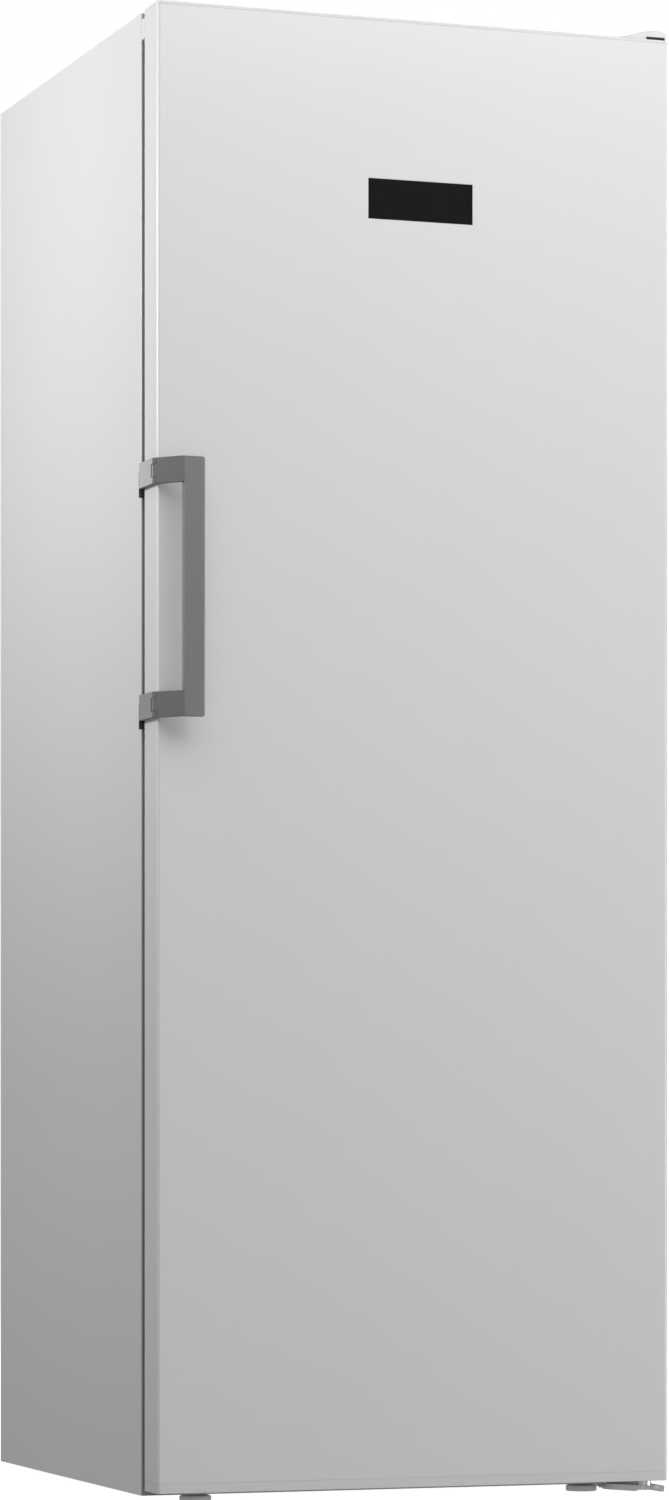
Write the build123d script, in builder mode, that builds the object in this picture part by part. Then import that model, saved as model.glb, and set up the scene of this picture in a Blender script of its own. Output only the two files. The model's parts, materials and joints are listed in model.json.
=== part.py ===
from build123d import *
import math
import os

# Upright freezer. Millimetres, +Z up, the door faces -Y and swings on its +X side. The origin is
# on the floor, under the middle of the cabinet's width and of the whole freezer's depth.

# Driving dimensions: overall
cabinet_width = 700
cabinet_reach = 728  # from the door's front to the cabinet's back
door_height = 1883
door_thickness = 53.5
door_gap = 14  # between the door's back and the cabinet's front
door_floor_gap = 18
cabinet_floor_gap = 11
cabinet_top_step = 2.5  # how far the cabinet's top lies under the door's
spacer_depth = 21
steel_sheet = 0.8
plastic_wall = 2
seam = 0.3  # clearance between pieces that move past each other
running_clearance = 0.05  # on the radius of a pin in its bore

# Driving dimensions: insulation and the room inside
side_insulation = 62
top_insulation = 70
floor_insulation = 69
rear_insulation = 75
liner_lip = 4
liner_lip_depth = 8
panel_bend = 2.4
back_flange = 20
rail_sheet = 1.5
rail_depth = 60
machine_room_depth = 250
machine_room_height = 230
machine_room_wall = 50
machine_room_bevel = 40
back_bead_count = 4
back_bead_margin = 155  # from the cabinet's side to the outer bead's middle
back_bead_width = 18
back_bead_rise = 1.5

# Driving dimensions: door
door_edge_radius = 4.5
door_lip = 14
top_cap_height = 4
top_cap_round = 1.5
bottom_cap_height = 12.5
bottom_cap_floor = 3
bulge_depth = 16
bulge_clearance = 16  # round the bulge, inside the cabinet's opening
bulge_round = 8
gasket_width = 22
gasket_base = 3
gasket_head = 5
gasket_neck_share = 0.35  # of the gasket's width
gasket_head_share = 0.8  # of the gasket's width
gasket_cover = 10  # how far the gasket reaches over the edge of the opening
display_width = 142.5
display_height = 51.5
display_thickness = 3
display_below_top = 232
display_offset = 4.6
display_round = 1.5
display_seam = 0.25
display_ledge = 3
display_box_depth = 22

# Driving dimensions: hinges
pin_radius = 6
pin_inset = 22  # from the door's side
pin_depth = 27  # behind the door's front
pin_grip = 20  # how deep a pin stands in the door
bush_wall = 3
hinge_plate = 3
hinge_plate_width = 36
hinge_plate_reach = 60  # over the cabinet
hinge_lift = 1.5  # the upper plate over the door's top
lower_plate = 6
lower_plate_width = 57
lower_rail_height = 2
lower_rail_width = 7
screw_radius = 3
screw_head_radius = 5.5
screw_head_height = 3
screw_pitch_share = 0.5  # of the plate's width, between its two screws
upper_screw_setback = 10.5  # from the plate's rear edge
lower_screw_setback = 14
plate_nose = 12  # of a hinge plate, in front of its pin
notch_rear = 1  # of the lower plate's slanted edge, in front of its pin
notch_side = 14  # of that edge's front end, left of the pin
notch_nose = 8  # of the lower plate's front edge, left of the pin
joggle_start = 12  # of the upper plate's step, behind the cabinet's front
joggle_length = 4
cover_rise = 14
cover_width = 71
cover_crest = 14  # from its right edge to its highest line
cover_overhang = 2.5
cover_front = 12
cover_length = 140
cover_wall = 2.2
cover_point = 8.8  # of solid plastic at the ramp's thin end
cover_ramp_slope = 0.04
cover_shoulder = 8  # how far its right edge is rounded down
trim_height = 26.5
trim_drop = 8
trim_door_clearance = 1.2

# Driving dimensions: handle
handle_height = 1160  # of its middle, over the floor
handle_length = 327
handle_arm_height = 32.5
handle_standoff = 37
handle_inset = 24
grip_width = 28
grip_thickness = 9.5
grip_round = 3
arm_thickness = 7
mount_stand = 7
mount_front = 1
mount_rear = 55
pivot_radius = 1.5
pivot_boss = 3.2
pivot_inset = 3.5
pivot_depth = 2
joint_radius = 7.2
joint_gap = 0.4
mount_ear = 8
rod_thickness = 3.5
rod_height = 10
rod_start = 12
pusher_plate = 4
pusher_reach = 12
pusher_drop = 10.5
pusher_rest = 58  # of its plate, behind the door's front

# Driving dimensions: shelves, drawers and flaps
drawer_side_gap = 26  # from a drawer's side to the liner
drawer_gap = 44  # from the door's bulge to the drawers' rails
drawer_wall = 2.2
drawer_front_wall = 4
drawer_headroom = 10
grip_rail_width = 240
grip_rail_height = 16
grip_rail_depth = 12
grip_rail_round = 4
drawer_back_gap = 8
drawer_count = 5  # full-depth drawers over the step
flap_count = 2
flap_height = 190  # of a flap's compartment
flap_thickness = 4
flap_pin_radius = 3
flap_pin_height = 6
flap_lug = 8
flap_lug_half = 6  # round the pin
flap_side_gap = 2
shelf_thickness = 4
shelf_back_gap = 12
duct_depth = 90
duct_cover_wall = 3
slot_width = 60
slot_height = 6
slot_count = 5
light_width = 120
light_depth = 60
light_height = 8
light_setback = 40
slot_rise_share = 0.7  # of a drawer's pitch, over its shelf

# Driving dimensions: cold air and refrigerant
fan_radius = 55
fan_drop = 116.5  # of its axis, under the inner room's ceiling
fan_hub_radius = 14
fan_hub_length = 16
fan_blade_count = 5
fan_blade_width = 24
fan_blade_thickness = 2
fan_blade_pitch = 30
fan_shaft_radius = 2
motor_radius = 22
motor_length = 26
motor_foot_width = 22
motor_foot_height = 88
fan_grille_gap = 9
evaporator_width = 440
evaporator_height = 270
evaporator_depth = 60
evaporator_gap = 70  # under the fan's sweep
fin_count = 23
fin_thickness = 1
coil_radius = 4
coil_row_count = 5
coil_column_count = 2
condenser_radius = 2.4
condenser_run_count = 6
condenser_margin = 90
condenser_bend_share = 0.45  # of the pitch between two runs
compressor_radius = 72
compressor_height = 150
compressor_half_depth = 61
compressor_dome_round = 36
compressor_offset = -90
compressor_foot = 4
compressor_stub_height = 45  # of its pipe stubs, over its feet
compressor_foot_width = 190
compressor_foot_depth = 130
grommet_radius = 11
grommet_height = 16
tray_wall = 1.5
tray_height = 16  # over the cabinet's lower edge
tray_lip = 14
drip_length = 190
drip_width = 120
drip_height = 24
drip_corner_round = 12
drier_radius = 10
drier_length = 80
drier_offset = 75
drier_end_round = 5
return_pipe_offset = 50  # from the compressor's stub
pipe_radius = 4
pipe_bend = 22
pipe_pair_offset = 22  # of each stub, from the compressor's middle
drier_rise = 44  # of its lower end, over the stubs

# Driving dimensions: what it stands on and what is fixed to its back
foot_gap = 3  # between the right foot and the lower hinge's plate
foot_setback = 30
foot_radius = 20
foot_height = 8
foot_stem_radius = 5
foot_stem_length = 46
foot_travel = 20
nut_radius = 10
nut_height = 25
roller_radius = 12
roller_width = 20
roller_inset = 52
roller_setback = 45
axle_radius = 3
axle_edge = 6  # of a bracket plate, below its axle's middle
roller_plate = 2
roller_side_gap = 1
spacer_width = 40
spacer_height = 60
spacer_inset = 90
spacer_below_top = 130
inlet_radius = 10
inlet_length = 9
inlet_bore = 4
control_width = 180
control_depth = 110
control_height = 36

# Places that follow from the driving dimensions
half_width = cabinet_width / 2
door_front = handle_standoff - (handle_standoff + cabinet_reach + spacer_depth) / 2
door_rear = door_front + door_thickness
door_bottom = door_floor_gap
door_top = door_floor_gap + door_height
cabinet_front = door_rear + door_gap
cabinet_rear = door_front + cabinet_reach
cabinet_bottom = cabinet_floor_gap
cabinet_top = door_top - cabinet_top_step
inner_half = half_width - side_insulation
drawer_half_width = inner_half - drawer_side_gap
inner_top = cabinet_top - top_insulation
fan_height = inner_top - fan_drop
inner_bottom = cabinet_bottom + floor_insulation
inner_rear = cabinet_rear - rear_insulation
front_flange = side_insulation - liner_lip
room_front = cabinet_rear - machine_room_depth
room_top = cabinet_bottom + machine_room_height
step_front = room_front - machine_room_wall
step_top = room_top + machine_room_wall
duct_front = inner_rear - duct_depth
drawer_front = door_rear + bulge_depth + drawer_gap
flap_zone = inner_top - flap_count * flap_height
drawer_pitch = (flap_zone - step_top) / drawer_count
pin_x = half_width - pin_inset
pin_y = door_front + pin_depth
handle_bottom = handle_height - handle_length / 2
handle_top = handle_height + handle_length / 2
inside_side = half_width - steel_sheet

os.makedirs("parts", exist_ok=True)


def save(piece, name):
    """Label a finished piece and write it under its node's name."""
    piece.part.label = name
    export_step(piece.part, f"parts/{name}.step")


def block(low, high, mode=Mode.ADD):
    """A box from one corner to the opposite one, in the piece that is being built."""
    low, high = Vector(*low), Vector(*high)
    size = high - low
    with Locations((low + high) / 2):
        Box(size.X, size.Y, size.Z, mode=mode)


def rod(start, radius, length, direction, mode=Mode.ADD):
    """A cylinder that starts at a point and runs along a direction."""
    with Locations(Plane(origin=start, z_dir=direction)):
        Cylinder(radius, length, align=(Align.CENTER, Align.CENTER, Align.MIN), mode=mode)


# Casing: side panels, each one folded sheet with a front and a back flange
with BuildPart() as side_panel_left:
    with BuildSketch(Plane.XY.offset(cabinet_bottom)) as side_section:
        with BuildLine():
            Polyline(
                (-half_width, cabinet_front),
                (-half_width, cabinet_rear),
                (-half_width + back_flange, cabinet_rear),
                (-half_width + back_flange, cabinet_rear - steel_sheet),
                (-inside_side, cabinet_rear - steel_sheet),
                (-inside_side, cabinet_front + steel_sheet),
                (-half_width + front_flange, cabinet_front + steel_sheet),
                (-half_width + front_flange, cabinet_front),
                close=True,
            )
        make_face()
        bends = side_section.vertices().group_by(Axis.X)
        fillet(bends[0], panel_bend)
        fillet(bends[1], panel_bend - steel_sheet)
    extrude(amount=cabinet_top - cabinet_bottom)
save(side_panel_left, "side_panel_left")

with BuildPart() as side_panel_right:
    add(mirror(side_panel_left.part, about=Plane.YZ))
save(side_panel_right, "side_panel_right")

# The top sheet lies between the side panels, the back sheet between their back flanges
with BuildPart() as top_panel:
    block(
        (-inside_side, cabinet_front + steel_sheet, cabinet_top - steel_sheet),
        (inside_side, cabinet_rear - steel_sheet, cabinet_top),
    )
save(top_panel, "top_panel")

with BuildPart() as back_panel:
    block(
        (-half_width + back_flange, cabinet_rear - steel_sheet, room_top),
        (half_width - back_flange, cabinet_rear, cabinet_top),
    )
    bead_pitch = (cabinet_width - 2 * back_bead_margin) / (back_bead_count - 1)
    bead_bottom = room_top + machine_room_wall
    bead_top = cabinet_top - spacer_below_top - spacer_height
    with Locations((0, cabinet_rear + back_bead_rise / 2, (bead_bottom + bead_top) / 2)):
        with GridLocations(bead_pitch, 1, back_bead_count, 1):
            Box(back_bead_width, back_bead_rise, bead_top - bead_bottom)
save(back_panel, "back_panel")

# The bottom sheet runs back from the front rail, up over the machine room and back again
with BuildPart() as bottom_panel:
    with BuildSketch(Plane.YZ) as bottom_section:
        with BuildLine():
            Polyline(
                (cabinet_front + rail_depth, cabinet_bottom),
                (room_front, cabinet_bottom),
                (room_front, room_top - machine_room_bevel),
                (room_front + machine_room_bevel, room_top),
                (cabinet_rear - steel_sheet, room_top),
            )
            offset(amount=steel_sheet, side=Side.LEFT)
        make_face()
    extrude(amount=inside_side, both=True)
save(bottom_panel, "bottom_panel")

# Front rails: the top one carries the upper hinge, the bottom one the lower hinge and the feet
with BuildPart() as top_crossbar:
    rail_top = cabinet_top - steel_sheet
    block(
        (-half_width + front_flange, cabinet_front, inner_top + liner_lip),
        (half_width - front_flange, cabinet_front + rail_sheet, rail_top),
    )
    block(
        (-inside_side, cabinet_front + steel_sheet, rail_top - rail_sheet),
        (inside_side, cabinet_front + rail_depth, rail_top),
    )
save(top_crossbar, "top_crossbar")

hinge_right = half_width - plastic_wall
lower_left = hinge_right - lower_plate_width
foot_x = lower_left - foot_gap - foot_radius
foot_y = cabinet_front + foot_setback

with BuildPart() as bottom_crossbar:
    block(
        (-half_width + front_flange, cabinet_front, cabinet_bottom),
        (half_width - front_flange, cabinet_front + rail_sheet, inner_bottom - liner_lip),
    )
    block(
        (-inside_side, cabinet_front + steel_sheet, cabinet_bottom),
        (inside_side, cabinet_front + rail_depth, cabinet_bottom + rail_sheet),
    )
    for x in (-foot_x, foot_x):
        rod((x, foot_y, cabinet_bottom), nut_radius, nut_height, (0, 0, 1))
        rod(
            (x, foot_y, cabinet_bottom),
            foot_stem_radius + running_clearance,
            nut_height,
            (0, 0, 1),
            mode=Mode.SUBTRACT,
        )
save(bottom_crossbar, "bottom_crossbar")


def inner_room(inset):
    """The room inside the cabinet, grown by a wall, from the cabinet's front to its back wall."""
    with BuildPart() as room:
        with BuildSketch(Plane.YZ):
            with BuildLine():
                Polyline(
                    (cabinet_front, inner_bottom - inset),
                    (step_front - inset, inner_bottom - inset),
                    (step_front - inset, step_top - machine_room_bevel - inset),
                    (step_front + machine_room_bevel - inset, step_top - inset),
                    (inner_rear + inset, step_top - inset),
                    (inner_rear + inset, inner_top + inset),
                    (cabinet_front, inner_top + inset),
                    close=True,
                )
            make_face()
        extrude(amount=inner_half + inset, both=True)
    return room.part


# Liner: one thin shell with a lip round its mouth
with BuildPart() as inner_liner:
    add(inner_room(plastic_wall))
    block(
        (-inner_half - liner_lip, cabinet_front, inner_bottom - liner_lip),
        (inner_half + liner_lip, cabinet_front + liner_lip_depth, inner_top + liner_lip),
    )
    add(inner_room(0), mode=Mode.SUBTRACT)
save(inner_liner, "inner_liner")

# Condenser: a tube on the inside of each side panel, up and down in the foam
condenser_x = inside_side - condenser_radius - seam
condenser_low = room_top + condenser_margin
condenser_high = cabinet_top - condenser_margin
condenser_pitch = (cabinet_reach - door_thickness - door_gap - 2 * condenser_margin) / (
    condenser_run_count - 1
)
condenser_points = []
for run in range(condenser_run_count):
    y = cabinet_front + condenser_margin + run * condenser_pitch
    ends = (condenser_low, condenser_high) if run % 2 == 0 else (condenser_high, condenser_low)
    condenser_points += [(y, z) for z in ends]

with BuildPart() as condenser_tube:
    for x in (-condenser_x, condenser_x):
        with BuildLine() as condenser_path:
            FilletPolyline(
                *[(x, y, z) for y, z in condenser_points],
                radius=condenser_pitch * condenser_bend_share,
            )
        with BuildSketch(condenser_path.line ^ 0):
            Circle(condenser_radius)
        sweep(path=condenser_path.line)
save(condenser_tube, "condenser_tube")

# Electronics box, foamed into the roof
with BuildPart() as control_box:
    block(
        (-control_width / 2, cabinet_front + rail_depth, rail_top - control_height),
        (control_width / 2, cabinet_front + rail_depth + control_depth, rail_top),
    )
save(control_box, "control_box")

# Foam: all of the room between the sheets and the liner
with BuildPart() as cabinet_foam:
    block(
        (-inside_side, cabinet_front + steel_sheet, cabinet_bottom),
        (inside_side, cabinet_rear - steel_sheet, cabinet_top),
    )
    with BuildSketch(Plane.YZ):
        with BuildLine():
            Polyline(
                (room_front, cabinet_bottom),
                (room_front, room_top - machine_room_bevel),
                (room_front + machine_room_bevel, room_top),
                (cabinet_rear, room_top),
                (cabinet_rear, cabinet_bottom),
                close=True,
            )
        make_face()
    extrude(amount=half_width, both=True, mode=Mode.SUBTRACT)
    for x in (-foot_x, foot_x):
        rod(
            (x, foot_y, cabinet_bottom),
            nut_radius,
            foot_stem_length + foot_travel,
            (0, 0, 1),
            mode=Mode.SUBTRACT,
        )
    add(inner_room(plastic_wall), mode=Mode.SUBTRACT)
    for neighbour in (
        side_panel_left,
        side_panel_right,
        top_panel,
        bottom_panel,
        top_crossbar,
        bottom_crossbar,
        inner_liner,
        condenser_tube,
        control_box,
    ):
        add(neighbour.part, mode=Mode.SUBTRACT)
save(cabinet_foam, "cabinet_foam")

# Trim strip that fills the gap over the seal; it stands back where the door's corner sweeps
trim_top = cabinet_top - trim_drop
trim_split = pin_x - pin_inset
with BuildPart() as top_front_trim:
    block(
        (-half_width + seam, door_rear + trim_door_clearance, trim_top - trim_height),
        (trim_split, cabinet_front, trim_top),
    )
    corner_sweep = math.hypot(pin_inset, door_thickness - pin_depth)
    block(
        (trim_split, pin_y + corner_sweep + seam * 2, trim_top - trim_height),
        (half_width - seam, cabinet_front, trim_top),
    )
save(top_front_trim, "top_front_trim")

# Shelves: glass plates that lie on the liner's ribs, the lowest one on the step
shelf_levels = [step_top + level * drawer_pitch for level in range(drawer_count + 1)]
shelf_levels += [flap_zone + level * flap_height for level in range(1, flap_count)]
flap_levels = [flap_zone + level * flap_height + shelf_thickness for level in range(flap_count)]
flap_pin_y = drawer_front + flap_thickness + seam
lug_inner = drawer_half_width + flap_side_gap / 2

with BuildPart() as shelves:
    for z in shelf_levels:
        block(
            (-inner_half, drawer_front, z),
            (inner_half, duct_front - shelf_back_gap, z + shelf_thickness),
        )
    for z in flap_levels:
        for side in (-1, 1):
            lug_x = side * (lug_inner + flap_lug / 2)
            pin_z = z + flap_pin_height
            block(
                (lug_x - flap_lug / 2, flap_pin_y - flap_lug_half, z),
                (lug_x + flap_lug / 2, flap_pin_y + flap_lug_half, pin_z + flap_lug_half),
            )
            rod(
                (lug_x - flap_lug / 2, flap_pin_y, pin_z),
                flap_pin_radius + running_clearance,
                flap_lug,
                (1, 0, 0),
                mode=Mode.SUBTRACT,
            )
save(shelves, "shelves")

# Duct cover: the wall behind the drawers, with air slots at each level and a grille at the fan
fan_y = duct_front + duct_cover_wall + fan_grille_gap
with BuildPart() as duct_cover:
    block(
        (-inner_half, duct_front, step_top),
        (inner_half, duct_front + duct_cover_wall, inner_top),
    )
    slot_levels = [z + drawer_pitch * slot_rise_share for z in shelf_levels[:drawer_count]]
    slot_pitch = 2 * inner_half / (slot_count + 1)
    for z in slot_levels:
        with Locations((0, duct_front + duct_cover_wall / 2, z)):
            with GridLocations(slot_pitch, 1, slot_count, 1):
                Box(slot_width, duct_cover_wall, slot_height, mode=Mode.SUBTRACT)
    grille_pitch = 2 * slot_height
    grille_rows = int(2 * fan_radius / grille_pitch)
    for row in range(grille_rows):
        height = (row - (grille_rows - 1) / 2) * grille_pitch
        chord = 2 * math.sqrt(fan_radius**2 - height**2) - slot_height
        with Locations((0, duct_front + duct_cover_wall / 2, fan_height + height)):
            Box(chord, duct_cover_wall, slot_height, mode=Mode.SUBTRACT)
save(duct_cover, "duct_cover")

# Fan: the motor stands on the liner's back wall, its shaft carries the blades
motor_front = fan_y + fan_hub_length + seam
with BuildPart() as fan_motor:
    rod((0, motor_front, fan_height), motor_radius, motor_length, (0, 1, 0))
    rod((0, fan_y, fan_height), fan_shaft_radius, fan_hub_length + seam * 2, (0, 1, 0))
    block(
        (-motor_foot_width / 2, motor_front + motor_length / 2, fan_height - motor_foot_height / 2),
        (motor_foot_width / 2, inner_rear, fan_height + motor_foot_height / 2),
    )
save(fan_motor, "fan_motor")

with BuildPart() as fan_blade:
    rod((0, fan_y, fan_height), fan_hub_radius, fan_hub_length, (0, 1, 0))
    blade_length = fan_radius - fan_hub_radius
    blade_reach = fan_hub_radius + blade_length / 2 - fan_blade_thickness
    blade_centre = Location((0, fan_y + fan_hub_length / 2, fan_height), (90, 0, 0))
    with Locations(blade_centre):
        with PolarLocations(blade_reach, fan_blade_count):
            Box(
                blade_length,
                fan_blade_width,
                fan_blade_thickness,
                rotation=(fan_blade_pitch, 0, 0),
            )
    rod(
        (0, fan_y, fan_height),
        fan_shaft_radius + running_clearance,
        fan_hub_length,
        (0, 1, 0),
        mode=Mode.SUBTRACT,
    )
save(fan_blade, "fan_blade")

# Evaporator: finned coil between two end plates that hang on the back wall
evaporator_top = fan_height - fan_radius - evaporator_gap
evaporator_middle = (0, inner_rear - evaporator_depth / 2, evaporator_top - evaporator_height / 2)
with BuildPart() as evaporator:
    with Locations(evaporator_middle):
        with GridLocations(evaporator_width / (fin_count - 1), 1, fin_count, 1):
            Box(fin_thickness, evaporator_depth, evaporator_height)
    coil_plane = Plane(origin=evaporator_middle, z_dir=(1, 0, 0), x_dir=(0, 1, 0))
    with Locations(coil_plane):
        with GridLocations(
            evaporator_depth / (coil_column_count + 1),
            evaporator_height / coil_row_count,
            coil_column_count,
            coil_row_count,
        ):
            Cylinder(coil_radius, evaporator_width + coil_radius * 2)
save(evaporator, "evaporator")

# Ceiling light
with BuildPart() as light_cover:
    light_front = drawer_front + light_setback
    block(
        (-light_width / 2, light_front, inner_top - light_height),
        (light_width / 2, light_front + light_depth, inner_top),
    )
    fillet(light_cover.edges().group_by(Axis.Z)[0], plastic_wall)
save(light_cover, "light_cover")

# Machine room: a tray between the side panels carries the compressor and the rollers
tray_bottom = cabinet_bottom + tray_height
tray_top = tray_bottom + tray_wall
with BuildPart() as compressor_tray:
    block(
        (-inside_side, room_front + steel_sheet, tray_bottom),
        (inside_side, cabinet_rear, tray_top),
    )
    for lip_front in (room_front + steel_sheet, cabinet_rear - tray_wall):
        block(
            (-half_width + back_flange, lip_front, tray_bottom),
            (half_width - back_flange, lip_front + tray_wall, tray_top + tray_lip),
        )
    for corner in (-1, 1):
        x0 = corner * half_width
        x1 = corner * (half_width - back_flange)
        block(
            (min(x0, x1), cabinet_rear - panel_bend, tray_bottom),
            (max(x0, x1), cabinet_rear, tray_top + tray_lip),
            mode=Mode.SUBTRACT,
        )
save(compressor_tray, "compressor_tray")

compressor_y = (room_front + cabinet_rear) / 2
grommet_x = compressor_foot_width / 2 - grommet_radius
grommet_y = compressor_foot_depth / 2 - grommet_radius
with BuildPart() as compressor_mounts:
    with Locations((compressor_offset, compressor_y, tray_top + grommet_height / 2)):
        with GridLocations(grommet_x * 2, grommet_y * 2, 2, 2):
            Cylinder(grommet_radius, grommet_height)
save(compressor_mounts, "compressor_mounts")

shell_bottom = tray_top + grommet_height
shell_top = shell_bottom + compressor_height
stub_z = shell_bottom + compressor_stub_height
with BuildPart() as compressor:
    block(
        (
            compressor_offset - compressor_foot_width / 2,
            compressor_y - compressor_foot_depth / 2,
            shell_bottom,
        ),
        (
            compressor_offset + compressor_foot_width / 2,
            compressor_y + compressor_foot_depth / 2,
            shell_bottom + compressor_foot,
        ),
    )
    with BuildSketch(Plane.XY.offset(shell_bottom)):
        with Locations((compressor_offset, compressor_y)):
            Ellipse(compressor_radius, compressor_half_depth)
    extrude(amount=compressor_height)
    fillet(compressor.edges().group_by(Axis.Z)[-1], compressor_dome_round)
    for y in (-pipe_pair_offset, pipe_pair_offset):
        rod(
            (compressor_offset, compressor_y + y, stub_z),
            pipe_radius,
            compressor_radius + pipe_bend,
            (1, 0, 0),
        )
save(compressor, "compressor")

# Drip tray: it sits on the compressor, whose warmth dries the defrost water
with BuildPart() as drip_tray:
    drip_low = (compressor_offset - drip_length / 2, compressor_y - drip_width / 2, shell_top)
    drip_high = (
        compressor_offset + drip_length / 2,
        compressor_y + drip_width / 2,
        shell_top + drip_height,
    )
    block(drip_low, drip_high)
    fillet(drip_tray.edges().filter_by(Axis.Z), drip_corner_round)
    offset(amount=-plastic_wall, openings=drip_tray.faces().sort_by(Axis.Z)[-1])
save(drip_tray, "drip_tray")

# Refrigerant pipes: one to the drier, one up into the foam
pipe_start = compressor_offset + compressor_radius + pipe_bend
drier_x = pipe_start + drier_offset
drier_y = compressor_y + pipe_pair_offset
drier_bottom = stub_z + drier_rise
with BuildPart() as filter_drier:
    rod((drier_x, drier_y, drier_bottom), drier_radius, drier_length, (0, 0, 1))
    fillet(filter_drier.edges().filter_by(GeomType.CIRCLE), drier_end_round)
save(filter_drier, "filter_drier")

pipe_routes = (
    (
        (pipe_start, drier_y, stub_z),
        (drier_x, drier_y, stub_z),
        (drier_x, drier_y, drier_bottom),
    ),
    (
        (pipe_start, compressor_y - pipe_pair_offset, stub_z),
        (pipe_start + return_pipe_offset, compressor_y - pipe_pair_offset, stub_z),
        (pipe_start + return_pipe_offset, compressor_y - pipe_pair_offset, room_top),
    ),
)
with BuildPart() as refrigerant_pipes:
    for route in pipe_routes:
        with BuildLine() as pipe_path:
            FilletPolyline(*route, radius=pipe_bend)
        with BuildSketch(pipe_path.line ^ 0):
            Circle(pipe_radius)
        sweep(path=pipe_path.line)
    rod(
        (drier_x, drier_y, drier_bottom + drier_length),
        pipe_radius,
        room_top - drier_bottom - drier_length,
        (0, 0, 1),
    )
save(refrigerant_pipes, "refrigerant_pipes")

# Inlet gland of the mains lead, in the back sheet
with BuildPart() as power_inlet:
    inlet_z = step_top
    inlet_x = half_width - back_flange - spacer_inset
    rod((inlet_x, cabinet_rear, inlet_z), inlet_radius, inlet_length, (0, 1, 0))
    rod(
        (inlet_x, cabinet_rear + plastic_wall, inlet_z),
        inlet_bore,
        inlet_length,
        (0, 1, 0),
        mode=Mode.SUBTRACT,
    )
save(power_inlet, "power_inlet")

# Wall spacers on the back
with BuildPart() as wall_spacers:
    spacer_z = cabinet_top - spacer_below_top
    with Locations((0, cabinet_rear + spacer_depth / 2, spacer_z)):
        with GridLocations(2 * (half_width - spacer_inset), 1, 2, 1):
            Box(spacer_width, spacer_depth, spacer_height)
    fillet(wall_spacers.edges().group_by(Axis.Y)[-1], plastic_wall)
save(wall_spacers, "wall_spacers")

# Levelling feet: a disc on a screw that stands in the front rail's nut
for name, x in (("foot_left", -foot_x), ("foot_right", foot_x)):
    with BuildPart() as foot:
        rod((x, foot_y, 0), foot_radius, foot_height, (0, 0, 1))
        chamfer(foot.edges().group_by(Axis.Z)[-1], plastic_wall)
        rod((x, foot_y, 0), foot_stem_radius, foot_stem_length, (0, 0, 1))
    save(foot, name)

# Rear rollers, each on an axle between two plates under the tray
roller_y = cabinet_rear - roller_setback
roller_centres = (-half_width + roller_inset, half_width - roller_inset)
bracket_inner = roller_width / 2 + roller_side_gap
with BuildPart() as roller_brackets:
    for x in roller_centres:
        for side in (-1, 1):
            plate_x = x + side * (bracket_inner + roller_plate / 2)
            block(
                (plate_x - roller_plate / 2, roller_y - roller_radius, roller_radius - axle_edge),
                (plate_x + roller_plate / 2, roller_y + roller_radius, tray_bottom),
            )
        plate_outer = bracket_inner + roller_plate
        rod((x - plate_outer, roller_y, roller_radius), axle_radius, 2 * plate_outer, (1, 0, 0))
save(roller_brackets, "roller_brackets")

for name, x in zip(("roller_left", "roller_right"), roller_centres):
    with BuildPart() as roller:
        rod((x - roller_width / 2, roller_y, roller_radius), roller_radius, roller_width, (1, 0, 0))
        chamfer(roller.edges(), plastic_wall / 2)
        rod(
            (x - roller_width / 2, roller_y, roller_radius),
            axle_radius + running_clearance,
            roller_width,
            (1, 0, 0),
            mode=Mode.SUBTRACT,
        )
    save(roller, name)

# Upper hinge: a joggled plate on the cabinet's top reaches out over the door
plate_left = hinge_right - hinge_plate_width
lip_bottom = door_top + hinge_lift
lip_top = lip_bottom + hinge_plate
plate_rear = cabinet_front + hinge_plate_reach
joggle_front = cabinet_front + joggle_start
screw_shares = ((1 - screw_pitch_share) / 2, (1 + screw_pitch_share) / 2)
with BuildPart() as upper_hinge_bracket:
    with BuildSketch(Plane.YZ.offset(plate_left)):
        with BuildLine():
            Polyline(
                (cabinet_front + rail_sheet, cabinet_top),
                (plate_rear, cabinet_top),
                (plate_rear, cabinet_top + hinge_plate),
                (joggle_front + joggle_length, cabinet_top + hinge_plate),
                (joggle_front, lip_top),
                (pin_y - plate_nose, lip_top),
                (pin_y - plate_nose, lip_bottom),
                (cabinet_front + rail_sheet, lip_bottom),
                close=True,
            )
        make_face()
    extrude(amount=hinge_plate_width)
    front_corners = upper_hinge_bracket.edges().filter_by(Axis.Z).group_by(Axis.Y)[0]
    fillet(front_corners, pin_radius)
    rod((pin_x, pin_y, lip_bottom), pin_radius, hinge_plate, (0, 0, 1), mode=Mode.SUBTRACT)
    upper_screw_points = [
        (plate_left + hinge_plate_width * share, plate_rear - upper_screw_setback)
        for share in screw_shares
    ]
    for x, y in upper_screw_points:
        rod((x, y, cabinet_top), screw_radius, hinge_plate, (0, 0, 1), mode=Mode.SUBTRACT)
save(upper_hinge_bracket, "upper_hinge_bracket")

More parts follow.
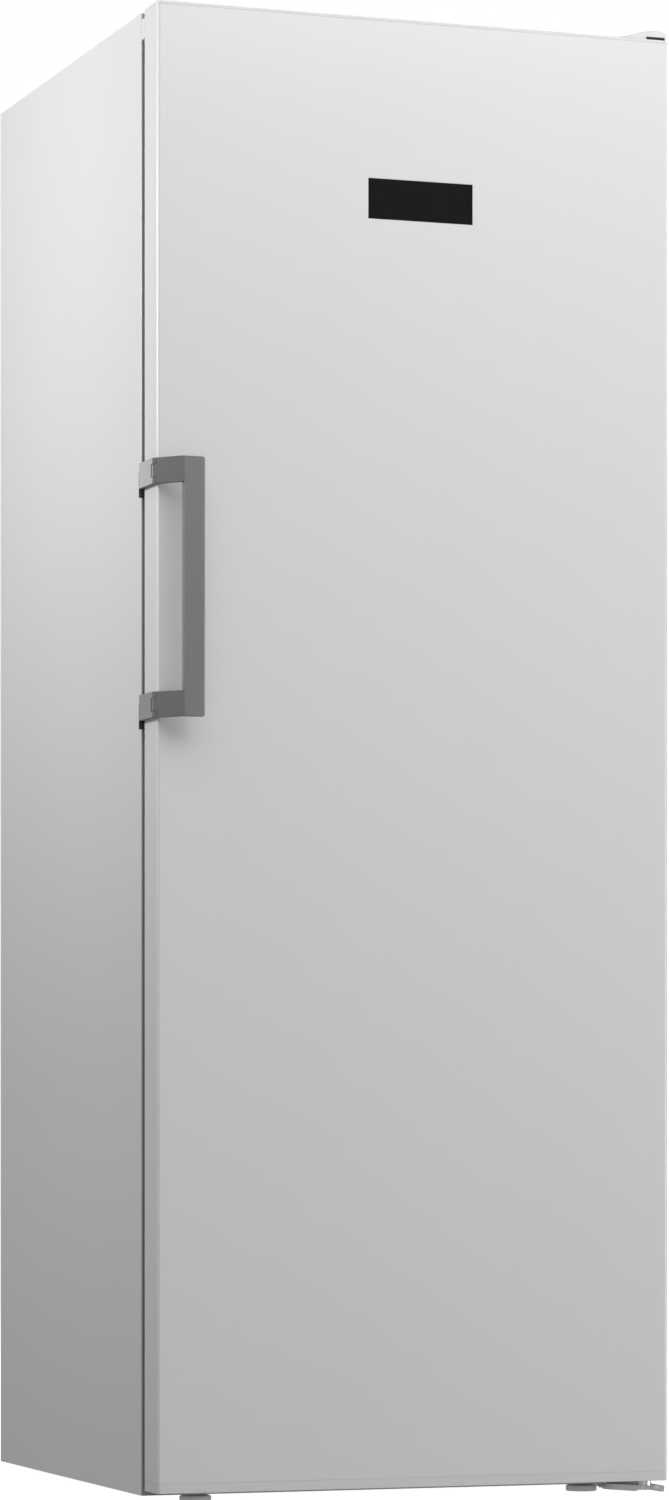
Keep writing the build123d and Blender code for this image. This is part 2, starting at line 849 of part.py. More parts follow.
# Lower hinge: a plate screwed under the front rail, with two side rails near the floor
lower_top = cabinet_bottom
lower_bottom = lower_top - lower_plate
lower_front = pin_y - plate_nose
lower_rear = cabinet_front + rail_depth
slant_front = Vector(pin_x - notch_side, pin_y - notch_rear)
slant_rear = Vector(lower_left, cabinet_front - notch_rear)
slant_along = (slant_front - slant_rear).normalized()
slant_in = Vector(-slant_along.Y, slant_along.X) * lower_rail_width
with BuildPart() as lower_hinge_bracket:
    with BuildSketch(Plane.XY.offset(lower_bottom)) as lower_plan:
        with BuildLine():
            Polyline(
                (lower_left, lower_rear),
                (hinge_right, lower_rear),
                (hinge_right, lower_front),
                (pin_x - notch_nose, lower_front),
                (slant_front.X, slant_front.Y),
                (slant_rear.X, slant_rear.Y),
                close=True,
            )
        make_face()
        fillet(lower_plan.vertices().group_by(Axis.Y)[0], pin_radius)
    extrude(amount=lower_plate)
    rail_bottom = lower_bottom - lower_rail_height
    with BuildSketch(Plane.XY.offset(rail_bottom)):
        with BuildLine():
            Polyline(
                (slant_rear.X, slant_rear.Y),
                (slant_front.X, slant_front.Y),
                (slant_front.X + slant_in.X, slant_front.Y + slant_in.Y),
                (lower_left + lower_rail_width, slant_rear.Y + slant_in.Y),
                (lower_left + lower_rail_width, cabinet_front + door_gap),
                (lower_left, cabinet_front + door_gap),
                close=True,
            )
        make_face()
    extrude(amount=lower_rail_height)
    block(
        (hinge_right - lower_rail_width, door_front + pin_radius, rail_bottom),
        (hinge_right, cabinet_front + door_gap, lower_bottom),
    )
    block(
        (hinge_right - lower_rail_width, door_front + pin_radius, lower_bottom),
        (hinge_right, pin_y, lower_top),
    )
    rod((pin_x, pin_y, lower_top), pin_radius + bush_wall, door_bottom - lower_top - seam, (0, 0, 1))
    rod(
        (pin_x, pin_y, lower_bottom),
        pin_radius,
        door_bottom - lower_bottom,
        (0, 0, 1),
        mode=Mode.SUBTRACT,
    )
    lower_screw_points = [
        (lower_left + lower_plate_width * share, lower_rear - lower_screw_setback)
        for share in screw_shares
    ]
    for x, y in lower_screw_points:
        rod((x, y, lower_bottom), screw_radius, lower_plate, (0, 0, 1), mode=Mode.SUBTRACT)
save(lower_hinge_bracket, "lower_hinge_bracket")

with BuildPart() as hinge_pins:
    rod((pin_x, pin_y, door_top - pin_grip), pin_radius, lip_top - door_top + pin_grip, (0, 0, 1))
    rod((pin_x, pin_y, lower_bottom), pin_radius, door_bottom - lower_bottom + pin_grip, (0, 0, 1))
save(hinge_pins, "hinge_pins")

with BuildPart() as hinge_screws:
    for x, y in upper_screw_points:
        rod((x, y, cabinet_top + hinge_plate), screw_head_radius, screw_head_height, (0, 0, 1))
        rod((x, y, cabinet_top), screw_radius, hinge_plate, (0, 0, 1))
    for x, y in lower_screw_points:
        rod((x, y, lower_bottom), screw_head_radius, screw_head_height, (0, 0, -1))
        rod((x, y, lower_bottom), screw_radius, lower_plate, (0, 0, 1))
save(hinge_screws, "hinge_screws")

# Cover over the upper hinge: a low ramp that rises to the right and rounds over the edge
cover_right = half_width + cover_overhang
cover_left = cover_right - cover_width
cover_bottom = door_top + seam * 2
cover_top = door_top + cover_rise
cover_front_y = door_front + cover_front
with BuildPart() as upper_hinge_cover:
    for shrink, point, mode in (
        (0, 0, Mode.ADD),
        (cover_wall, cover_point, Mode.SUBTRACT),
    ):
        with BuildSketch(Plane.XZ.offset(-cover_front_y - shrink)):
            with BuildLine():
                ramp_start = (cover_left + point, cover_bottom - shrink)
                ramp_knee = (cover_left + point, cover_bottom + cover_wall - shrink)
                crest = (cover_right - cover_crest, cover_top - shrink)
                shoulder = (cover_right - shrink, cover_top - cover_shoulder)
                Line(ramp_start, ramp_knee)
                Spline(ramp_knee, crest, tangents=((1, cover_ramp_slope), (1, 0)))
                Spline(crest, shoulder, tangents=((1, 0), (0, -1)))
                Line(shoulder, (cover_right - shrink, cover_bottom - shrink))
                Line((cover_right - shrink, cover_bottom - shrink), ramp_start)
            make_face()
        extrude(amount=-(cover_length - 2 * shrink), mode=mode)
save(upper_hinge_cover, "upper_hinge_cover")


def door_outline(inset):
    """The door's plan with rounded front edges, shrunk by an inset."""
    with BuildSketch() as outline:
        with Locations((0, (door_front + door_rear) / 2)):
            Rectangle(cabinet_width - 2 * inset, door_thickness - 2 * inset)
        fillet(outline.vertices().group_by(Axis.Y)[0], door_edge_radius - inset)
    return outline.sketch


def display_block(margin, front, rear, mode=Mode.ADD):
    """A box round the display, wider than its glass by a margin on every side."""
    reach_x = display_width / 2 + margin
    reach_z = display_height / 2 + margin
    block(
        (display_x - reach_x, front, display_z - reach_z),
        (display_x + reach_x, rear, display_z + reach_z),
        mode,
    )


# Door: folded skin, open at the back between two lips
skin_bottom = door_bottom + bottom_cap_height
skin_top = door_top - top_cap_height
display_x = display_offset
display_z = door_top - display_below_top
with BuildPart() as door_skin:
    with BuildSketch(Plane.XY.offset(skin_bottom)):
        add(door_outline(0))
        add(door_outline(steel_sheet), mode=Mode.SUBTRACT)
        with Locations((0, door_rear)):
            Rectangle(cabinet_width - 2 * door_lip, steel_sheet * 2, mode=Mode.SUBTRACT)
    extrude(amount=skin_top - skin_bottom)
    display_block(display_seam, door_front, door_front + steel_sheet, Mode.SUBTRACT)
save(door_skin, "door_skin")

# Hinge bushes in the door's two caps
bush_radius = pin_radius + running_clearance + bush_wall
with BuildPart() as hinge_bushings:
    for z in (door_bottom, door_top - pin_grip - bush_wall):
        rod((pin_x, pin_y, z), bush_radius, pin_grip + bush_wall, (0, 0, 1))
        rod(
            (pin_x, pin_y, z),
            pin_radius + running_clearance,
            pin_grip + bush_wall,
            (0, 0, 1),
            mode=Mode.SUBTRACT,
        )
save(hinge_bushings, "hinge_bushings")

with BuildPart() as door_top_cap:
    with BuildSketch(Plane.XY.offset(skin_top)):
        add(door_outline(0))
    extrude(amount=top_cap_height)
    fillet(door_top_cap.edges().group_by(Axis.Z)[-1], top_cap_round)
    rod((pin_x, pin_y, skin_top), bush_radius, top_cap_height, (0, 0, 1), mode=Mode.SUBTRACT)
save(door_top_cap, "door_top_cap")

with BuildPart() as door_bottom_cap:
    with BuildSketch(Plane.XY.offset(door_bottom)):
        add(door_outline(0))
    extrude(amount=bottom_cap_height)
    with BuildSketch(Plane.XY.offset(door_bottom + bottom_cap_floor)):
        add(door_outline(plastic_wall))
    extrude(amount=bottom_cap_height, mode=Mode.SUBTRACT)
    rod((pin_x, pin_y, door_bottom), bush_radius, bottom_cap_height, (0, 0, 1), mode=Mode.SUBTRACT)
save(door_bottom_cap, "door_bottom_cap")

# Door liner: a flat sheet behind the lips, with a bulge that enters the cabinet's opening
bulge_half = inner_half - bulge_clearance
bulge_bottom = inner_bottom + bulge_clearance
bulge_top = inner_top - bulge_clearance
bulge_rear = door_rear + bulge_depth
liner_face = door_rear - steel_sheet
with BuildPart() as bulge_core:
    block(
        (-bulge_half + plastic_wall, liner_face - plastic_wall, bulge_bottom + plastic_wall),
        (bulge_half - plastic_wall, bulge_rear - plastic_wall, bulge_top - plastic_wall),
    )
    fillet(bulge_core.edges().group_by(Axis.Y)[-1], bulge_round - plastic_wall)

with BuildPart() as door_liner:
    block((-bulge_half, door_rear - bulge_round, bulge_bottom), (bulge_half, bulge_rear, bulge_top))
    fillet(door_liner.edges().group_by(Axis.Y)[-1], bulge_round)
    block(
        (-bulge_half, door_rear - bulge_round, bulge_bottom),
        (bulge_half, liner_face - plastic_wall, bulge_top),
        mode=Mode.SUBTRACT,
    )
    block(
        (-inside_side, liner_face - plastic_wall, skin_bottom),
        (inside_side, liner_face, skin_top),
    )
    add(bulge_core.part, mode=Mode.SUBTRACT)
save(door_liner, "door_liner")

# Display: a glass plate flush with the skin, on the ledge of a box behind it
with BuildPart() as display_glass:
    with BuildSketch(Plane.XZ.offset(-door_front)):
        with Locations((display_x, display_z)):
            RectangleRounded(display_width, display_height, display_round)
    extrude(amount=-display_thickness)
save(display_glass, "display_glass")


display_rear = door_front + display_box_depth
display_margin = display_ledge + plastic_wall
with BuildPart() as display_housing:
    display_block(display_margin, door_front + steel_sheet, display_rear)
    display_block(display_seam, door_front, door_front + display_thickness, Mode.SUBTRACT)
    display_block(-display_ledge, door_front, display_rear - plastic_wall, Mode.SUBTRACT)
save(display_housing, "display_housing")

# Door foam: all of the room inside the skin, the caps and the liner
with BuildPart() as door_foam:
    with BuildSketch(Plane.XY.offset(door_bottom)):
        add(door_outline(steel_sheet))
    extrude(amount=skin_top - door_bottom)
    add(bulge_core.part)
    display_block(display_margin, door_front, display_rear, Mode.SUBTRACT)
    for z in (door_bottom, door_top - pin_grip - bush_wall):
        rod((pin_x, pin_y, z), bush_radius, pin_grip + bush_wall, (0, 0, 1), mode=Mode.SUBTRACT)
    for neighbour in (door_top_cap, door_bottom_cap, door_liner):
        add(neighbour.part, mode=Mode.SUBTRACT)
save(door_foam, "door_foam")


def ring(half_x, low_z, high_z, width, front, rear, mode=Mode.ADD):
    """A square ring round the opening, centred on its own width."""
    reach = width / 2
    with BuildPart(mode=Mode.PRIVATE) as band:
        block(
            (-half_x - reach, front, low_z - reach),
            (half_x + reach, rear, high_z + reach),
        )
        block(
            (-half_x + reach, front, low_z + reach),
            (half_x - reach, rear, high_z - reach),
            mode=Mode.SUBTRACT,
        )
    return band.part


# Seal: a base strip, a narrow bellows and a magnet head, all round the door's bulge
seal_half = inner_half + gasket_cover + gasket_width / 2
seal_low = inner_bottom - liner_lip - gasket_width / 2
seal_high = inner_top + liner_lip + gasket_width / 2
seal_head_rear = cabinet_front - seam
seal_head_front = seal_head_rear - gasket_head
seal_base_rear = liner_face + gasket_base
with BuildPart() as door_gasket:
    add(ring(seal_half, seal_low, seal_high, gasket_width, liner_face, seal_base_rear))
    add(
        ring(
            seal_half,
            seal_low,
            seal_high,
            gasket_width * gasket_neck_share,
            seal_base_rear,
            seal_head_front,
        )
    )
    add(
        ring(
            seal_half,
            seal_low,
            seal_high,
            gasket_width * gasket_head_share,
            seal_head_front,
            seal_head_rear,
        )
    )
save(door_gasket, "door_gasket")

# Handle. Its plan is drawn from the door's front left corner: the outer face of each arm runs
# from the mount's front corner to the grip's outer edge
corner = Vector(-half_width - mount_stand, door_front - mount_front)
grip_edge = Vector(-half_width + handle_inset, door_front - handle_standoff)
along = (grip_edge - corner).normalized()
inward = Vector(-along.Y, along.X)
pivot = Vector(-half_width - pivot_inset, door_front + pivot_depth)
inner_corner = corner + inward * arm_thickness
reach_to_grip = (grip_edge.X - inner_corner.X) / along.X
inner_end = inner_corner + along * reach_to_grip


def arm_plan():
    """The plan of a whole arm, from the mount's corner to the grip's side."""
    with BuildSketch() as plan:
        with BuildLine():
            Polyline(
                (corner.X, corner.Y),
                (grip_edge.X, grip_edge.Y),
                (inner_end.X, inner_end.Y),
                (inner_corner.X, inner_corner.Y),
                close=True,
            )
        make_face()
    return plan.sketch


def disc(centre, radius):
    """A disc in plan."""
    with BuildSketch() as plan:
        with Locations((centre.X, centre.Y)):
            Circle(radius)
    return plan.sketch


arm_bottoms = {"upper": handle_top - handle_arm_height, "lower": handle_bottom}
ear_gap = mount_ear + seam
tongue_height = handle_arm_height - 2 * ear_gap
rod_middle = -half_width - mount_stand / 2

for level, arm_bottom in arm_bottoms.items():
    with BuildPart() as arm:
        with BuildSketch(Plane.XY.offset(arm_bottom)):
            add(arm_plan())
            add(disc(pivot, joint_radius + joint_gap), mode=Mode.SUBTRACT)
        extrude(amount=handle_arm_height)
        with BuildSketch(Plane.XY.offset(arm_bottom + ear_gap)):
            add(arm_plan())
            add(disc(pivot, pivot_boss))
        extrude(amount=tongue_height)
        rod(
            (pivot.X, pivot.Y, arm_bottom),
            pivot_radius + running_clearance,
            handle_arm_height,
            (0, 0, 1),
            mode=Mode.SUBTRACT,
        )
    save(arm, f"handle_arm_{level}")

    with BuildPart() as mount:
        with BuildSketch(Plane.XY.offset(arm_bottom)):
            add(arm_plan())
            add(disc(pivot, joint_radius), mode=Mode.INTERSECT)
            with BuildLine():
                Polyline(
                    (-half_width, door_front + mount_rear),
                    (corner.X, door_front + mount_rear),
                    (corner.X, corner.Y),
                    (inner_corner.X, inner_corner.Y),
                    (-half_width, door_front + door_edge_radius + mount_front),
                    close=True,
                )
            make_face()
        extrude(amount=handle_arm_height)
        block(
            (corner.X, corner.Y - joint_radius, arm_bottom + mount_ear),
            (
                pivot.X + joint_radius,
                pivot.Y + pivot_boss + seam,
                arm_bottom + handle_arm_height - mount_ear,
            ),
            mode=Mode.SUBTRACT,
        )
        channel_half = rod_thickness / 2 + seam
        channel_low = arm_bottom + (handle_arm_height - rod_height) / 2 - seam
        block(
            (rod_middle - channel_half, pivot.Y, channel_low),
            (
                rod_middle + channel_half,
                door_front + mount_rear,
                channel_low + rod_height + 2 * seam,
            ),
            mode=Mode.SUBTRACT,
        )
        rod(
            (pivot.X, pivot.Y, arm_bottom),
            pivot_radius,
            handle_arm_height,
            (0, 0, 1),
            mode=Mode.SUBTRACT,
        )
    save(mount, f"handle_mount_{level}")

with BuildPart() as handle_pins:
    for arm_bottom in arm_bottoms.values():
        rod((pivot.X, pivot.Y, arm_bottom), pivot_radius, handle_arm_height, (0, 0, 1))
save(handle_pins, "handle_pins")

with BuildPart() as handle_grip:
    block(
        (grip_edge.X, grip_edge.Y, handle_bottom),
        (grip_edge.X + grip_width, grip_edge.Y + grip_thickness, handle_top),
    )
    fillet(handle_grip.edges().filter_by(Axis.Z).group_by(Axis.X)[-1], grip_round)
save(handle_grip, "handle_grip")

# Pushers: when the grip is pulled, they slide back and press the door off the cabinet
plate_front = door_front + pusher_rest
with BuildPart() as handle_pushers:
    for arm_bottom in arm_bottoms.values():
        rod_low = arm_bottom + (handle_arm_height - rod_height) / 2
        block(
            (rod_middle - rod_thickness / 2, door_front + rod_start, rod_low),
            (rod_middle + rod_thickness / 2, plate_front, rod_low + rod_height),
        )
        block(
            (rod_middle - rod_thickness / 2, plate_front, arm_bottom - pusher_drop),
            (
                -half_width + pusher_reach,
                plate_front + pusher_plate,
                rod_low + rod_height,
            ),
        )
save(handle_pushers, "handle_pushers")


def drawer(name, floor, height, rear):
    """An open bin with a thick front and a rail to pull it by."""
    bin_front = drawer_front + grip_rail_depth
    with BuildPart() as tub:
        block(
            (-drawer_half_width, bin_front, floor),
            (drawer_half_width, rear, floor + height),
        )
        block(
            (
                -drawer_half_width + drawer_wall,
                bin_front + drawer_front_wall,
                floor + drawer_wall,
            ),
            (drawer_half_width - drawer_wall, rear - drawer_wall, floor + height),
            mode=Mode.SUBTRACT,
        )
        block(
            (-grip_rail_width / 2, drawer_front, floor + height - grip_rail_height),
            (grip_rail_width / 2, bin_front, floor + height),
        )
        rail_edges = tub.edges().filter_by(Axis.X).group_by(Axis.Y)[0]
        fillet(rail_edges, grip_rail_round)
    save(tub, name)


drawer(
    "drawer_1",
    inner_bottom + seam,
    step_top - inner_bottom - drawer_headroom,
    step_front - drawer_back_gap,
)
for level in range(drawer_count):
    drawer(
        f"drawer_{level + 2}",
        shelf_levels[level] + shelf_thickness + seam,
        drawer_pitch - shelf_thickness - drawer_headroom,
        duct_front - drawer_back_gap,
    )

# Flaps of the two top compartments, each on two short pins at its lower edge
for number, floor in enumerate(flap_levels, start=1):
    pin_z = floor + flap_pin_height
    with BuildPart() as flap:
        block(
            (-drawer_half_width, drawer_front, pin_z - flap_pin_radius),
            (
                drawer_half_width,
                drawer_front + flap_thickness,
                floor + flap_height - shelf_thickness - drawer_headroom,
            ),
        )
        rod(
            (-drawer_half_width, flap_pin_y, pin_z),
            flap_pin_radius,
            2 * drawer_half_width,
            (1, 0, 0),
        )
        for side in (-1, 1):
            rod(
                (side * drawer_half_width, flap_pin_y, pin_z),
                flap_pin_radius,
                flap_lug + flap_side_gap / 2,
                (side, 0, 0),
            )
    save(flap, f"flap_{number}")
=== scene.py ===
import json
import math

import bmesh
import bpy
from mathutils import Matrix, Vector


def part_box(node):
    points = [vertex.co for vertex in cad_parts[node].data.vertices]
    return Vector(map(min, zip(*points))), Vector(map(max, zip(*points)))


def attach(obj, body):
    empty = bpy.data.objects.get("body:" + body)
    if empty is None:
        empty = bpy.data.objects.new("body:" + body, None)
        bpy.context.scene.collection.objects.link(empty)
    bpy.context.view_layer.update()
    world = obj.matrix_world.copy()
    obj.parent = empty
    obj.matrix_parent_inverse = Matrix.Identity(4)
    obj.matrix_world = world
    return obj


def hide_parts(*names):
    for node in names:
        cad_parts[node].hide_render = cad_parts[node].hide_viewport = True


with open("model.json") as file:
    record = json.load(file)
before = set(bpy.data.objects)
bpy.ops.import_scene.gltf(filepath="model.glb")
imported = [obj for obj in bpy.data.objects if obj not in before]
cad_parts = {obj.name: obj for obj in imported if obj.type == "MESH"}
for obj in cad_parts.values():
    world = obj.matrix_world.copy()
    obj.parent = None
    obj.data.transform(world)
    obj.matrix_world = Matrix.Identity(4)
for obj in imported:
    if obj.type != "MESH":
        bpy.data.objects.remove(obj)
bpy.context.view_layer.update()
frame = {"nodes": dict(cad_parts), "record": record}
record = frame["record"]
BODY_OF = {
    node: body for body, nodes in record["behaviour"]["bodies"].items() for node in nodes
}
SLOT_OF = {entry["node"]: entry["material_slot"] for entry in record["subparts"]}
DRAWERS = [(f"bin_{step}", f"drawer_{step}") for step in range(1, 7)]
UP, BACK = (0, 0, 1), (0, 1, 0)


# Studio: camera, lights, floor


def set_camera():
    """The camera stands to the left of the door, level, at knee height."""
    lens = bpy.data.cameras.new("studio_camera")
    lens.lens, lens.sensor_width = 116.336, 36
    lens.shift_x, lens.shift_y = 0.014583, 0.244341
    lens.clip_end = 100
    camera = bpy.data.objects.new("studio_camera", lens)
    camera.location = (-2.19698, -6.18052, 0.49391)
    camera.rotation_euler = (math.pi / 2, 0, -0.33909)
    bpy.context.scene.collection.objects.link(camera)
    bpy.context.scene.camera = camera


def soft_box(name, place, target, side, radiance):
    """A square studio light that looks at a point."""
    lamp = bpy.data.lights.new(name, "AREA")
    lamp.shape, lamp.size = "SQUARE", side
    lamp.energy = radiance * math.pi * side * side
    box = bpy.data.objects.new(name, lamp)
    box.location = place
    box.rotation_euler = (Vector(target) - Vector(place)).to_track_quat("-Z", "Y").to_euler()
    box.visible_camera = False
    bpy.context.scene.collection.objects.link(box)


def set_studio():
    """A white room: dim walls, a brighter ground, and soft boxes for each side."""
    scene = bpy.context.scene
    scene.view_settings.view_transform = "Standard"
    world = bpy.data.worlds.new("white_room")
    world.use_nodes = True
    scene.world = world
    room = Graph(world.node_tree)
    background = room.tree.nodes["Background"]
    background.inputs["Color"].default_value = (1, 1, 1, 1)
    seen = room.node("ShaderNodeLightPath", out="Is Camera Ray")
    sight = room.node("ShaderNodeTexCoord", out="Generated")
    ground = room.node("ShaderNodeSeparateXYZ", None, {0: sight}, out="Z") < 0
    above, below = 0.12, 0.32
    glow = above + ground * (below - above)
    strength = seen + (1 - seen) * glow
    room.tree.links.new(strength.socket, background.inputs["Strength"])
    door_middle = (0, -0.356, 0.9)
    for name, place, target, side, radiance in (
        ("front_box", (-1, -2, 3.6), door_middle, 2.6, 1.43),
        ("high_box", (1, -2.4, 3.2), door_middle, 2, 2.97),
        ("low_box", (3.6, -2.2, 0.6), door_middle, 1.8, 6.1),
        ("ground_box", (-1.4, -4.5, 0.35), (0, -0.356, 0.5), 1.2, 1.2),
        ("left_box", (-1.8, 0, 1.8), (-0.35, 0.05, 2.0), 0.5, 24),
        ("right_box", (3, 1.6, 2.6), (0.35, 0.3, 1.1), 1.6, 3.5),
        ("rear_box", (1.8, 4.4, 3.4), (0, 0.37, 1), 1.8, 9),
    ):
        soft_box(name, place, target, side, radiance)


def lay_floor():
    """A white floor, wide enough for every view, that keeps only a faint shadow."""
    shape = bmesh.new()
    bmesh.ops.create_grid(shape, x_segments=1, y_segments=1, size=40)
    mesh = bpy.data.meshes.new("studio_floor")
    shape.to_mesh(mesh)
    floor = bpy.data.objects.new("studio_floor", mesh)
    bpy.context.scene.collection.objects.link(floor)
    floor.visible_diffuse = floor.visible_glossy = False
    surface = Finish("floor_paint", Roughness=0.9, Emission_Strength=0.96)
    surface.feed("Base Color", surface.shades((0.3, 0.3, 0.3), 0.01, 0.5))
    surface.feed("Emission Color", surface.shades((1, 1, 1), 0.005, 0.8))
    mesh.materials.append(surface.material)


# Node trees


class Flow:
    """A socket of a node tree that can be used in plain sums."""

    def __init__(self, tree, socket):
        self.tree, self.socket = tree, socket

    def sum_of(self, operation, first, second):
        node = self.tree.nodes.new("ShaderNodeMath")
        node.operation = operation
        for place, value in enumerate((first, second)):
            if isinstance(value, Flow):
                self.tree.links.new(value.socket, node.inputs[place])
            else:
                node.inputs[place].default_value = value
        return Flow(self.tree, node.outputs[0])

    def __add__(self, other):
        return self.sum_of("ADD", self, other)

    def __sub__(self, other):
        return self.sum_of("SUBTRACT", self, other)

    def __rsub__(self, other):
        return self.sum_of("SUBTRACT", other, self)

    def __mul__(self, other):
        return self.sum_of("MULTIPLY", self, other)

    def __truediv__(self, other):
        return self.sum_of("DIVIDE", self, other)

    def __gt__(self, other):
        return self.sum_of("GREATER_THAN", self, other)

    def __lt__(self, other):
        return self.sum_of("LESS_THAN", self, other)

    def __pow__(self, other):
        return self.sum_of("POWER", self, other)

    __radd__ = __add__
    __rmul__ = __mul__


class Graph:
    """Adds nodes to a tree. Settings come first, then each socket's value or link."""

    def __init__(self, tree):
        self.tree = tree

    def node(self, kind, settings=None, sockets=None, out=0):
        made = self.tree.nodes.new(kind)
        for name, value in (settings or {}).items():
            setattr(made, name, value)
        for key, value in (sockets or {}).items():
            if isinstance(value, Flow):
                self.tree.links.new(value.socket, made.inputs[key])
            else:
                made.inputs[key].default_value = value
        return Flow(self.tree, made.outputs[out])

    def side(self, flow, name):
        """Another output of the node that a socket belongs to."""
        return Flow(self.tree, flow.socket.node.outputs[name])


class Finish(Graph):
    """A material that is worked out from a piece's own place in metres."""

    def __init__(self, name, **constants):
        self.material = bpy.data.materials.new(name)
        self.material.use_nodes = True
        super().__init__(self.material.node_tree)
        self.shader = self.tree.nodes["Principled BSDF"]
        for socket, value in constants.items():
            self.shader.inputs[socket.replace("_", " ")].default_value = value
        self.place = self.node("ShaderNodeTexCoord", out="Object")

    def feed(self, socket, flow):
        self.tree.links.new(flow.socket, self.shader.inputs[socket])

    def spread(self, size, stretch=(1, 1, 1)):
        """The place counted in specks of a size in metres, drawn out by a factor per axis."""
        counts = tuple(1 / (size * factor) for factor in stretch)
        return self.node(
            "ShaderNodeVectorMath", {"operation": "MULTIPLY"}, {0: self.place, 1: counts}
        )

    def noise(self, size, stretch=(1, 1, 1), detail=3):
        return self.node(
            "ShaderNodeTexNoise",
            None,
            {"Vector": self.spread(size, stretch), "Scale": 1, "Detail": detail},
        )

    def cells(self, size):
        return self.node(
            "ShaderNodeTexVoronoi",
            {"feature": "F1"},
            {"Vector": self.spread(size), "Scale": 1},
        )

    def blend(self, factor, first, second):
        """Two colours mixed by a factor."""
        sockets = {0: factor}
        for key, colour in ((6, first), (7, second)):
            sockets[key] = colour if isinstance(colour, Flow) else (*colour, 1)
        return self.node("ShaderNodeMix", {"data_type": "RGBA"}, sockets, out=2)

    def shades(self, colour, swing, size):
        """A colour that drifts by a share of itself, lighter and darker."""
        dark = tuple(part * (1 - swing) for part in colour)
        light = tuple(min(part * (1 + swing), 1) for part in colour)
        return self.blend(self.noise(size), dark, light)

    def relief(self, height, strength, distance):
        """Small bumps: height from 0 to 1 stands for a distance in metres."""
        bump = self.node(
            "ShaderNodeBump",
            None,
            {"Height": height, "Strength": strength, "Distance": distance},
        )
        self.feed("Normal", bump)

    def along(self, axis):
        """One coordinate of the place, in metres."""
        split = self.node("ShaderNodeSeparateXYZ", None, {0: self.place})
        return self.side(split, axis)

    def ramp(self, flow, start, end):
        """Rises evenly from nothing at the start to one at the end."""
        return self.node("ShaderNodeMapRange", None, {0: flow, 1: start, 2: end})

    def mark(self, name):
        """A number that the mesh carries on each face."""
        return self.node("ShaderNodeAttribute", {"attribute_name": name}, out="Fac")

    def rim(self):
        """One on the rounded edges of a piece, and nothing elsewhere."""
        return self.mark("rim")


class Pattern(Graph):
    """A Geometry Nodes tree with named sizes, which ends in plain painted geometry."""

    def __init__(self, name, **sizes):
        super().__init__(bpy.data.node_groups.new(name, "GeometryNodeTree"))
        face = self.tree.interface
        face.new_socket("Shape", in_out="INPUT", socket_type="NodeSocketGeometry")
        face.new_socket("Shape", in_out="OUTPUT", socket_type="NodeSocketGeometry")
        self.keys = {}
        for label, value in sizes.items():
            kind = "NodeSocketInt" if isinstance(value, int) else "NodeSocketFloat"
            socket = face.new_socket(label, in_out="INPUT", socket_type=kind)
            socket.default_value = value
            self.keys[label] = socket.identifier
        socket = face.new_socket("finish", in_out="INPUT", socket_type="NodeSocketMaterial")
        self.keys["finish"] = socket.identifier
        self.inlet = self.tree.nodes.new("NodeGroupInput")
        self.outlet = self.tree.nodes.new("NodeGroupOutput")
        self.shape = self.size("Shape")

    def size(self, label):
        return Flow(self.tree, self.inlet.outputs[label])

    def triple(self, x=0.0, y=0.0, z=0.0):
        """Three numbers as one vector."""
        return self.node("ShaderNodeCombineXYZ", None, {0: x, 1: y, 2: z})

    def end(self, shape):
        """Turns what was made into real faces and paints them."""
        whole = self.node("GeometryNodeRealizeInstances", None, {0: shape})
        painted = self.node(
            "GeometryNodeSetMaterial", None, {0: whole, "Material": self.size("finish")}
        )
        self.tree.links.new(painted.socket, self.outlet.inputs[0])

    def make(self, name, guide, body, slot, **sizes):
        """Runs the tree on a guide mesh and keeps the result as one piece of a body."""
        holder = bpy.data.objects.new(name, guide)
        bpy.context.scene.collection.objects.link(holder)
        worker = holder.modifiers.new("pattern", "NODES")
        worker.node_group = self.tree
        worker[self.keys["finish"]] = FINISH[slot]
        for label, value in sizes.items():
            worker[self.keys[label]] = value
        holder.update_tag()
        whole = bpy.context.evaluated_depsgraph_get()
        mesh = bpy.data.meshes.new_from_object(holder.evaluated_get(whole))
        holder.modifiers.clear()
        bpy.data.objects.remove(holder)
        return keep(name, outward(mesh), body, slot)


